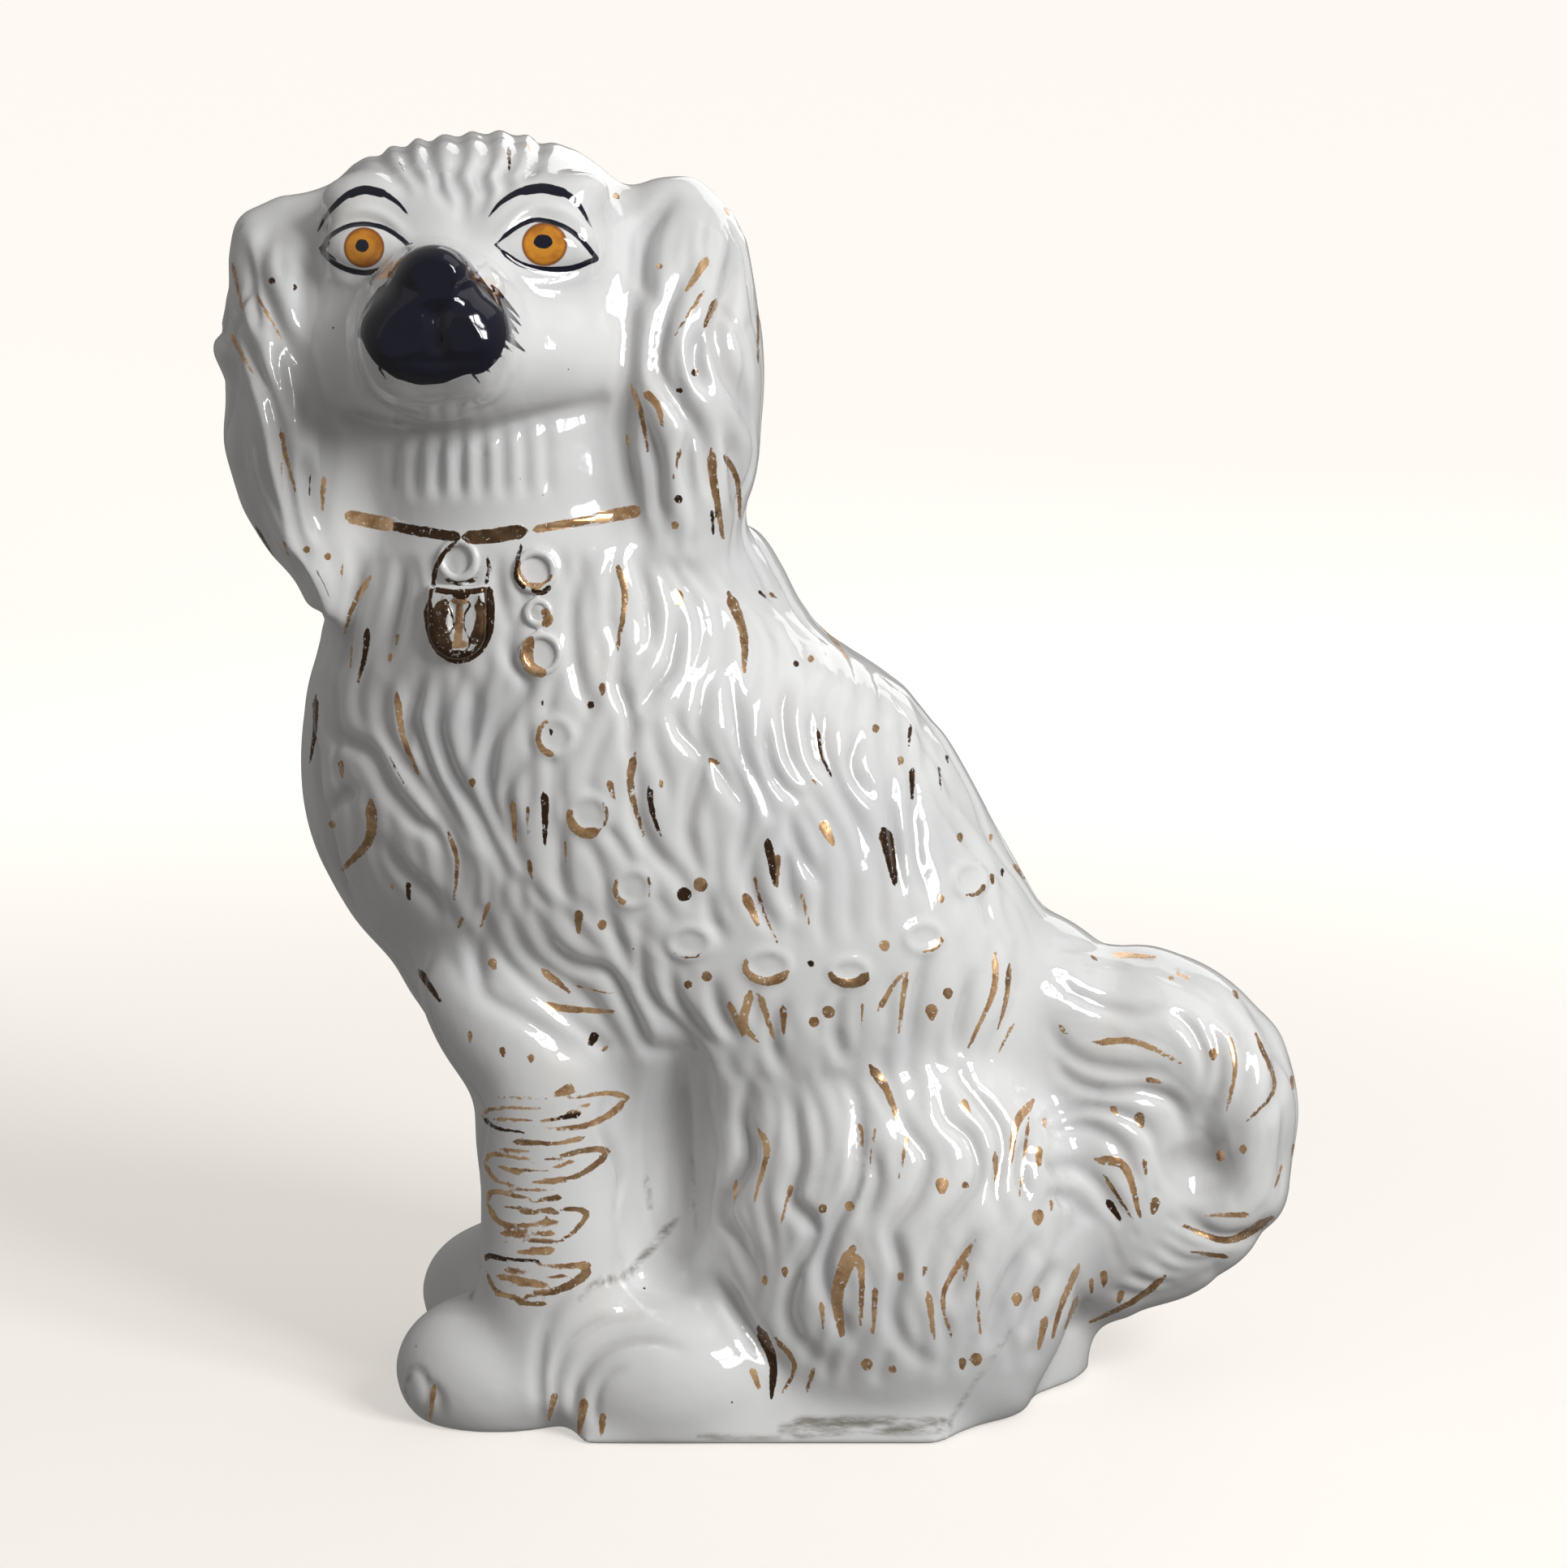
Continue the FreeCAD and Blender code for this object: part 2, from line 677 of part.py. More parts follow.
def lock():
    """A heart of the chain's lock: flat above, round below, with a sunk keyhole."""
    body = doc.addObject("PartDesign::Body", "Padlock")
    planes = {plane.Role: plane for plane in body.Origin.OriginFeatures}

    def plan(name):
        sketch = body.newObject("Sketcher::SketchObject", name)
        sketch.AttachmentSupport = [(planes["XY_Plane"], "")]
        sketch.MapMode = "FlatFace"
        return sketch

    def bind(sketch, expression, *constraint):
        index = sketch.addConstraint(Sketcher.Constraint(*constraint, value(expression)))
        sketch.setExpression(f"Constraints[{index}]", expression)

    half = size("padlockWidth") / 2
    shoulder = size("padlockHeight") - half
    left, right = FreeCAD.Vector(-half, 0, 0), FreeCAD.Vector(half, 0, 0)
    top_left, top_right = FreeCAD.Vector(-half, shoulder, 0), FreeCAD.Vector(half, shoulder, 0)
    outline = plan("PadlockPlan")
    outline.addGeometry(Part.LineSegment(left, top_left))
    outline.addGeometry(Part.LineSegment(top_left, top_right))
    outline.addGeometry(Part.LineSegment(top_right, right))
    bowl = Part.Circle(FreeCAD.Vector(0, 0, 0), FreeCAD.Vector(0, 0, 1), half)
    outline.addGeometry(Part.ArcOfCircle(bowl, math.pi, 2 * math.pi))
    for first, end, second, start in ((0, 2, 1, 1), (1, 2, 2, 1), (2, 2, 3, 2), (3, 1, 0, 1)):
        outline.addConstraint(Sketcher.Constraint("Coincident", first, end, second, start))
    outline.addConstraint(Sketcher.Constraint("Vertical", 0))
    outline.addConstraint(Sketcher.Constraint("Vertical", 2))
    outline.addConstraint(Sketcher.Constraint("Horizontal", 1))
    outline.addConstraint(Sketcher.Constraint("Coincident", 3, 3, -1, 1))
    outline.addConstraint(Sketcher.Constraint("PointOnObject", 0, 1, -1))
    bind(outline, "Sizes.padlockWidth / 2", "Radius", 3)
    bind(outline, "Sizes.padlockHeight - Sizes.padlockWidth / 2", "DistanceY", -1, 1, 1, 1)
    pad = body.newObject("PartDesign::Pad", "PadlockPad")
    pad.Profile = outline
    pad.setExpression("Length", "Sizes.padlockThickness")
    doc.recompute()

    front = max(range(len(pad.Shape.Faces)), key=lambda n: pad.Shape.Faces[n].CenterOfMass.z)
    rounding = body.newObject("PartDesign::Fillet", "PadlockRounding")
    rounding.Base = (pad, [f"Face{front + 1}"])
    rounding.setExpression("Radius", "Sizes.padlockRounding")

    keyhole = plan("KeyholePlan")
    eye_place = "0.3 * Sizes.padlockHeight"
    head = FreeCAD.Vector(0, value(eye_place), 0)
    keyhole.addGeometry(Part.Circle(head, FreeCAD.Vector(0, 0, 1), size("keyholeRadius")))
    keyhole.addConstraint(Sketcher.Constraint("PointOnObject", 0, 3, -2))
    bind(keyhole, "Sizes.keyholeRadius", "Radius", 0)
    bind(keyhole, eye_place, "DistanceY", -1, 1, 0, 3)

    slot = plan("KeyholeSlotPlan")
    top, foot = eye_place, f"{eye_place} - Sizes.keyholeLength"
    edges = ((-0.5, top), (0.5, top), (0.85, foot), (-0.85, foot))
    spots = [FreeCAD.Vector(share * size("keyholeRadius"), value(y), 0) for share, y in edges]
    for start, end in zip(spots, spots[1:] + spots[:1]):
        slot.addGeometry(Part.LineSegment(start, end))
    for line in range(len(edges)):
        slot.addConstraint(Sketcher.Constraint("Coincident", line, 2, (line + 1) % len(edges), 1))
    for line, (share, y) in enumerate(edges):
        bind(slot, of(share, "keyholeRadius"), "DistanceX", -1, 1, line, 1)
        bind(slot, y, "DistanceY", -1, 1, line, 1)

    for sketch in (keyhole, slot):
        sketch.setExpression("AttachmentOffset.Base.z", "Sizes.padlockThickness")
        pocket = body.newObject("PartDesign::Pocket", f"{sketch.Name}Pocket")
        pocket.Profile = sketch
        pocket.setExpression("Length", "Sizes.keyholeDepth")
    return body


padlock = lock()
padlock.Placement = seated(
    -size("padlockPlace"),
    size("bodyHeight") - size("padlockDrop"),
    -size("padlockBed"),
)
padlock_seated = cut("PadlockSeated", padlock, trunk)
piece("padlock", padlock_seated)

shackle = ring(
    "Shackle",
    "shackleRadius",
    "shackleWire",
    seated(-size("padlockPlace"), size("bodyHeight") - size("shackleDrop"), size("shackleWire") / 2),
)
for number, neighbour in enumerate((trunk, collar, padlock_seated)):
    shackle = cut(f"ShackleCut{number}", shackle, neighbour)
piece("padlock_shackle", shackle)

# place along the body and height of each large link, as shares of the body's length
# and height: down from the collar, round behind the elbow and up to the back
CHAIN_SHARES = (
    (-0.255, 0.960),
    (-0.249, 0.873),
    (-0.233, 0.786),
    (-0.195, 0.703),
    (-0.144, 0.624),
    (-0.079, 0.564),
    (0.012, 0.536),
    (0.109, 0.526),
    (0.199, 0.557),
    (0.257, 0.612),
)
spots = [
    (along * size("bodyLength"), height * size("bodyHeight")) for along, height in CHAIN_SHARES
]
links = []
for number, (x, z) in enumerate(spots):
    spot = seated(x, z, size("linkWire") / 4)
    links.append(ring(f"Link{number}", "linkRadius", "linkWire", spot))
for number, (start, end) in enumerate(zip(spots, spots[1:])):
    x, z = (start[0] + end[0]) / 2, (start[1] + end[1]) / 2
    spot = seated(x, z, size("smallLinkWire") / 4)
    links.append(ring(f"SmallLink{number}", "smallLinkRadius", "smallLinkWire", spot))
piece("chain_links", cut("ChainSeated", fuse("Chain", *links), trunk))


# Check and export

doc.recompute()
for thing in doc.Objects:
    if "Invalid" in thing.State or "Error" in thing.State:
        raise RuntimeError(f"{thing.Name} failed: {thing.getStatusString()}")
for label, thing in nodes.items():
    shape = thing.Shape
    if shape.isNull() or not shape.isValid():
        raise RuntimeError(f"{label} has no valid shape")
    box = shape.optimalBoundingBox()
    print(
        f"{label}: {len(shape.Solids)} solid(s), {shape.Volume / 1000:.1f} cm3, "
        f"x {box.XMin:.1f}..{box.XMax:.1f} y {box.YMin:.1f}..{box.YMax:.1f} "
        f"z {box.ZMin:.1f}..{box.ZMax:.1f}"
    )

os.makedirs("parts", exist_ok=True)
for label, thing in nodes.items():
    thing.Shape.exportStep(f"parts/{label}.step")
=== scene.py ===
import json, math
import bpy, bmesh
import numpy as np
from mathutils import Matrix, Vector
from mathutils.bvhtree import BVHTree

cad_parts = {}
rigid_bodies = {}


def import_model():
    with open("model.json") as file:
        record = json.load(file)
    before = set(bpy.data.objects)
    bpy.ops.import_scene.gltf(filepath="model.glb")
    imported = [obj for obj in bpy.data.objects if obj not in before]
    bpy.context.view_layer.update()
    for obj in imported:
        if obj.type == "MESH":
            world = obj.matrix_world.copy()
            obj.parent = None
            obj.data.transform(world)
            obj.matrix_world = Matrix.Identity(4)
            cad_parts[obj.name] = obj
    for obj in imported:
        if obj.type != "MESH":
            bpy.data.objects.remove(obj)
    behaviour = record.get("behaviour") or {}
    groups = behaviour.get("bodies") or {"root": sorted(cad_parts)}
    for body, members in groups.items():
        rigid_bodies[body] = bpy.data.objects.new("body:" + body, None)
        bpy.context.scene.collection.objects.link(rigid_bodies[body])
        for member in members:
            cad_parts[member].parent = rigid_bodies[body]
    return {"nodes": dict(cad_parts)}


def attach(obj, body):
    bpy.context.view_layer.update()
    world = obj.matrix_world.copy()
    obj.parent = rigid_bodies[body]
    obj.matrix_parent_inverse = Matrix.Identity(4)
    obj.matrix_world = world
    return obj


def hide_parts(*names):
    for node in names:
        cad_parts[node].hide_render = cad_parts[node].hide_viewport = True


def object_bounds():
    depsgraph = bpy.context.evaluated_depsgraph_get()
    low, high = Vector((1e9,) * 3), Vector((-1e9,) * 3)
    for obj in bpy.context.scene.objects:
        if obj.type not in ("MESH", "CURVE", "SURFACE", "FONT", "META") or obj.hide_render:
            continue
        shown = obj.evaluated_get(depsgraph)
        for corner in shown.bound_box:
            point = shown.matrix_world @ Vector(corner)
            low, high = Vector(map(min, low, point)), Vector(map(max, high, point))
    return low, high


for thing in list(bpy.data.objects):
    bpy.data.objects.remove(thing)
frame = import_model()
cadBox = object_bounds()
rng = np.random.default_rng(7)
mm, toMm = 0.001, 1000.0

# camera: places in mm, angles in degrees, the picture in its own pixels
camera = {"place": (6.5, -830.0, 290.0), "pitch": 9.2, "focal": 4069.0, "wide": 1931, "high": 1932,
          "sensor": 36.0, "near": 0.05, "far": 20.0}


def makeCamera():
    data = bpy.data.cameras.new("camera")
    data.sensor_fit, data.sensor_width = "HORIZONTAL", camera["sensor"]
    data.lens = camera["focal"] / camera["wide"] * camera["sensor"]
    data.clip_start, data.clip_end = camera["near"], camera["far"]
    thing = bpy.data.objects.new("camera", data)
    thing.location = Vector(camera["place"]) * mm
    thing.rotation_euler = (math.radians(90 - camera["pitch"]), 0, 0)
    bpy.context.scene.collection.objects.link(thing)
    bpy.context.scene.camera = thing


def onPhoto(co):
    # picture pixel of each point, points behind the seam taken as their mirror in front
    c, s = math.cos(math.radians(camera["pitch"])), math.sin(math.radians(camera["pitch"]))
    d = co * toMm - np.array(camera["place"])
    d[:, 1] = -np.abs(co[:, 1]) * toMm - camera["place"][1]
    depth = d[:, 1] * c - d[:, 2] * s
    up = d[:, 1] * s + d[:, 2] * c
    px = camera["wide"] / 2 + camera["focal"] * d[:, 0] / depth
    py = camera["high"] / 2 - camera["focal"] * up / depth
    return px, py


makeCamera()
print("camera set")


def edgesOf(mesh):
    edges = np.zeros(len(mesh.edges) * 2, np.int32)
    mesh.edges.foreach_get("vertices", edges)
    return edges.reshape(-1, 2)


def coOf(mesh):
    co = np.zeros(len(mesh.vertices) * 3, np.float32)
    mesh.vertices.foreach_get("co", co)
    return co.reshape(-1, 3).astype(np.float64)


def normalsOf(mesh):
    normals = np.zeros(len(mesh.vertices) * 3, np.float32)
    mesh.vertex_normals.foreach_get("vector", normals)
    return normals.reshape(-1, 3).astype(np.float64)


def placeAll(mesh, co):
    mesh.vertices.foreach_set("co", co.ravel().astype(np.float32))
    mesh.update()


def meshFrom(bm, name):
    data = bpy.data.meshes.new(name)
    bm.to_mesh(data)
    bm.free()
    return data


def linked(name, data):
    thing = bpy.data.objects.new(name, data)
    bpy.context.scene.collection.objects.link(thing)
    return thing


def ease(value, low, high):
    t = np.clip((value - low) / (high - low), 0, 1)
    return t * t * (3 - 2 * t)


# the blank: every skin node pressed into one form and re-meshed; lengths in mm
blank = {
    "skin": ["body_front_shell", "body_back_shell", "left_foreleg", "right_foreleg", "tail",
             "head_front_shell", "head_back_shell", "right_ear", "left_ear"],
    "luted": ["left_foreleg", "right_foreleg", "tail", "right_ear", "left_ear"], "lute": 0.6,
    "lapped": {"body_back_shell": (0, -0.8, 0), "head_back_shell": (0, -0.8, -0.8),
               "head_front_shell": (0, 0, -0.8)},
    "pads": [(90, 0, 62, 27, 31, 47, 0), (78, 0, 98, 18, 26, 28, -35), (104, 0, 58, 26, 23, 34, 0)],
    "voxel": 1.0, "quickVoxel": 1.6, "firstVoxel": 1.4, "close": 4.0, "settle": 4, "smooth": 22,
    "footSharp": 0.4, "foot": 3.0, "footFlat": 1.2, "slabLap": 0.7, "slabRise": 0.6, "slabMiddle": 14.0,
    "slabTop": 7.6, "slabNear": 0.9,
}


def welded(node):
    bm = bmesh.new()
    bm.from_mesh(frame["nodes"][node].data)
    bmesh.ops.remove_doubles(bm, verts=bm.verts, dist=1e-6)
    return bm


def plugSlab(bm):
    # a plain plug, so that the hollow is closed
    hull = bmesh.ops.convex_hull(bm, input=bm.verts)
    spare = set(g for g in hull["geom_interior"] + hull["geom_unused"] if isinstance(g, bmesh.types.BMVert))
    bmesh.ops.delete(bm, geom=list(spare), context="VERTS")
    for v in bm.verts:
        v.co.x += math.copysign(blank["slabLap"] * mm, v.co.x - blank["slabMiddle"] * mm)
        v.co.y += math.copysign(blank["slabLap"] * mm, v.co.y)
        v.co.z += blank["slabRise"] * mm


def pressInto(pressed, bm):
    data = meshFrom(bm, "press")
    pressed.from_mesh(data)
    bpy.data.meshes.remove(data)


def pressBlank():
    pressed = bmesh.new()
    for node in blank["skin"] + ["base_slab"]:
        bm = welded(node)
        if node in blank["lapped"]:
            bmesh.ops.translate(bm, verts=bm.verts, vec=Vector(blank["lapped"][node]) * mm)
        if node in blank["luted"]:
            bm.normal_update()
            for v in bm.verts:
                v.co += v.normal * blank["lute"] * mm
        if node == "base_slab":
            plugSlab(bm)
        pressInto(pressed, bm)
    for x, y, z, halfX, halfY, halfZ, turn in blank["pads"]:  # soft clay worked into the joints
        lump = bmesh.new()
        bmesh.ops.create_uvsphere(lump, u_segments=32, v_segments=20, radius=mm)
        bmesh.ops.scale(lump, verts=lump.verts, vec=(halfX, halfY, halfZ))
        swing = Matrix.Rotation(math.radians(turn), 3, "Y")
        bmesh.ops.rotate(lump, verts=lump.verts, cent=(0, 0, 0), matrix=swing)
        bmesh.ops.translate(lump, verts=lump.verts, vec=Vector((x, y, z)) * mm)
        pressInto(pressed, lump)
    return meshFrom(pressed, "blank")


def outerSkin(mesh):
    # flood from the topmost vertex: what it can't reach is the hollow inside
    edges, co = edgesOf(mesh), coOf(mesh)
    both = np.concatenate([edges, edges[:, ::-1]])
    both = both[np.argsort(both[:, 0], kind="stable")]
    starts = np.searchsorted(both[:, 0], np.arange(len(co) + 1))
    reached = np.zeros(len(co), bool)
    front = np.array([int(np.argmax(co[:, 2]))])
    reached[front] = True
    while len(front):
        counts = starts[front + 1] - starts[front]
        before = np.repeat(np.cumsum(counts) - counts, counts)
        at = np.repeat(starts[front], counts) + np.arange(counts.sum()) - before
        near = np.unique(both[at, 1])
        front = near[~reached[near]]
        reached[front] = True
    bm = bmesh.new()
    bm.from_mesh(mesh)
    bm.verts.ensure_lookup_table()
    bmesh.ops.delete(bm, geom=[bm.verts[i] for i in np.nonzero(~reached)[0]], context="VERTS")
    bm.to_mesh(mesh)
    bm.free()
    return mesh


def remeshed(data, voxel):
    thing = linked("blank", data)
    remesh = thing.modifiers.new("clay", "REMESH")
    remesh.mode = "VOXEL"
    remesh.voxel_size = voxel * mm
    remesh.adaptivity = 0.0
    made = bpy.data.meshes.new_from_object(thing.evaluated_get(bpy.context.evaluated_depsgraph_get()))
    bpy.data.objects.remove(thing)
    return outerSkin(made)


def relax(mesh, rounds, keep=None):
    # each vertex goes half way to the middle of its neighbours, or less where keep is below 1
    edges, co = edgesOf(mesh), coOf(mesh)
    number = np.bincount(edges.ravel(), minlength=len(co))[:, None]
    weight = 0.5 * (np.ones(len(co)) if keep is None else keep)[:, None]
    for _ in range(rounds):
        total = np.zeros_like(co)
        for axis in range(3):
            total[:, axis] = (np.bincount(edges[:, 0], weights=co[edges[:, 1], axis], minlength=len(co))
                              + np.bincount(edges[:, 1], weights=co[edges[:, 0], axis], minlength=len(co)))
        co += (total / number - co) * weight
    placeAll(mesh, co)


def swollen(mesh, distance):
    placeAll(mesh, coOf(mesh) + normalsOf(mesh) * distance * mm)


def makeSkin():
    # swollen, joined and shrunk again, so that narrow gaps close as wet clay does
    mesh = remeshed(pressBlank(), blank["firstVoxel"])
    relax(mesh, blank["settle"])
    swollen(mesh, blank["close"])
    mesh = remeshed(mesh, blank["firstVoxel"])
    relax(mesh, blank["settle"])
    swollen(mesh, -blank["close"])
    mesh = remeshed(mesh, blank["voxel"])
    height = coOf(mesh)[:, 2] * toMm
    relax(mesh, blank["smooth"], keep=np.clip((height - blank["footSharp"]) / blank["foot"], 0, 1))
    return mesh


skin = makeSkin()
print("blank pressed:", len(skin.vertices), "vertices")


# the face is cut finer, so that its painted lines are sharp: its window in pixels, depth and height in mm
finer = {"left": 372, "right": 765, "top": 210, "bottom": 500, "depth": -8.0, "low": 238.0,
         "margin": 20, "marginLow": 220.0, "rounds": 6}


def inWindow(co, margin):
    px, py = onPhoto(co)
    return ((px > finer["left"] - margin) & (px < finer["right"] + margin)
            & (py > finer["top"] - margin) & (py < finer["bottom"] + margin))


def cutFiner(mesh):
    co = coOf(mesh)
    inside = inWindow(co, 0) & (co[:, 1] * toMm < finer["depth"]) & (co[:, 2] * toMm > finer["low"])
    bm = bmesh.new()
    bm.from_mesh(mesh)
    edges = [e for e in bm.edges if inside[e.verts[0].index] and inside[e.verts[1].index]]
    bmesh.ops.subdivide_edges(bm, edges=edges, cuts=1, use_grid_fill=True)
    bm.to_mesh(mesh)
    bm.free()
    co = coOf(mesh)
    near = inWindow(co, finer["margin"]) & (co[:, 1] < 0) & (co[:, 2] * toMm > finer["marginLow"])
    relax(mesh, finer["rounds"], keep=near.astype(float))


cutFiner(skin)
print("face cut finer:", len(skin.vertices), "vertices")


# maps over the picture, drawn from named curves: relief in mm, paint as a distance in pixels
mapWide, mapHigh, reliefStep = camera["wide"], camera["high"], 2


def curve(points, spacing=3.0):
    # a smooth line through the points, straight where there are only two
    p = np.array(points, float)
    if len(p) == 2:
        n = max(2, int(np.hypot(*(p[1] - p[0])) / spacing) + 1)
        return p[0] + (p[1] - p[0]) * np.linspace(0, 1, n)[:, None]
    ends = np.vstack([2 * p[0] - p[1], p, 2 * p[-1] - p[-2]])
    out = []
    for i in range(len(p) - 1):
        a, b, c, d = ends[i:i + 4]
        n = max(2, int(np.hypot(*(c - b)) / spacing) + 1)
        t = np.linspace(0, 1, n, endpoint=i == len(p) - 2)[:, None]
        out.append(0.5 * (2 * b + (c - a) * t + (2 * a - 5 * b + 4 * c - d) * t ** 2
                          + (3 * b - a - 3 * c + d) * t ** 3))
    return np.vstack(out)


def along(line, n):
    run = np.concatenate([[0], np.cumsum(np.hypot(*np.diff(line, axis=0).T))])
    at = np.linspace(0, run[-1], n)
    return np.stack([np.interp(at, run, line[:, 0]), np.interp(at, run, line[:, 1])], 1)


def emptyRelief():
    return np.zeros((mapHigh // reliefStep + 1, mapWide // reliefStep + 1), np.float32)


# the carving tool: its steps and reach in widths, how its ends fade, and a mound's reach in half sizes
carving = {"spacing": 0.45, "fewest": 6, "reach": 2.4, "fade": 0.6, "moundReach": 2.5}


def groove(relief, line, width, depth, tips=0.22):
    # a soft valley that fades over its tips: the deepest of all that cross a cell counts
    length = np.hypot(*np.diff(line, axis=0).T).sum()
    n = max(carving["fewest"], int(length / (carving["spacing"] * width)))
    w = width / reliefStep
    reach = int(carving["reach"] * w) + 1
    t = np.linspace(0, 1, n)
    deep = depth * np.clip(np.minimum(t, 1 - t) / tips, 0, 1) ** carving["fade"]
    for (x, y), d in zip(along(line, n) / reliefStep, deep):
        x0, y0 = int(x) - reach, int(y) - reach
        x1, y1 = int(x) + reach + 1, int(y) + reach + 1
        if x0 < 0 or y0 < 0 or x1 >= relief.shape[1] or y1 >= relief.shape[0]:
            continue
        gy, gx = np.mgrid[y0:y1, x0:x1]
        bump = d * np.exp(-((gx - x) ** 2 + (gy - y) ** 2) / (w * w))
        part = relief[y0:y1, x0:x1]
        np.maximum(part, bump, out=part)


def swell(relief, x, y, rx, ry, height, turn=0.0, power=1.0):
    # a soft mound, or a hollow where height is less than nothing
    x, y, rx, ry = (v / reliefStep for v in (x, y, rx, ry))
    reach = int(carving["moundReach"] * max(rx, ry)) + 1
    x0, y0 = int(max(0, x - reach)), int(max(0, y - reach))
    x1, y1 = int(min(relief.shape[1], x + reach)), int(min(relief.shape[0], y + reach))
    gy, gx = np.mgrid[y0:y1, x0:x1]
    c, s = math.cos(math.radians(turn)), math.sin(math.radians(turn))
    u, v = ((gx - x) * c + (gy - y) * s) / rx, (-(gx - x) * s + (gy - y) * c) / ry
    relief[y0:y1, x0:x1] += height * np.exp(-(u * u + v * v) ** power)


def sample(field, px, py, cell=1):
    x = np.clip(px / cell, 0, field.shape[1] - 1.001)
    y = np.clip(py / cell, 0, field.shape[0] - 1.001)
    ix, iy = x.astype(int), y.astype(int)
    fx, fy = x - ix, y - iy
    return ((field[iy, ix] * (1 - fx) + field[iy, ix + 1] * fx) * (1 - fy)
            + (field[iy + 1, ix] * (1 - fx) + field[iy + 1, ix + 1] * fx) * fy)


def blurred(field, radius):
    # three box passes each way, close to a bell curve
    out = field.astype(np.float64)
    for axis in (0, 1):
        for _ in range(3):
            pad = [(radius + 1, radius) if a == axis else (0, 0) for a in (0, 1)]
            run = np.cumsum(np.pad(out, pad, mode="edge"), axis=axis)
            hi = np.take(run, range(2 * radius + 1, run.shape[axis]), axis=axis)
            lo = np.take(run, range(0, run.shape[axis] - 2 * radius - 1), axis=axis)
            out = (hi - lo) / (2 * radius + 1)
    return out


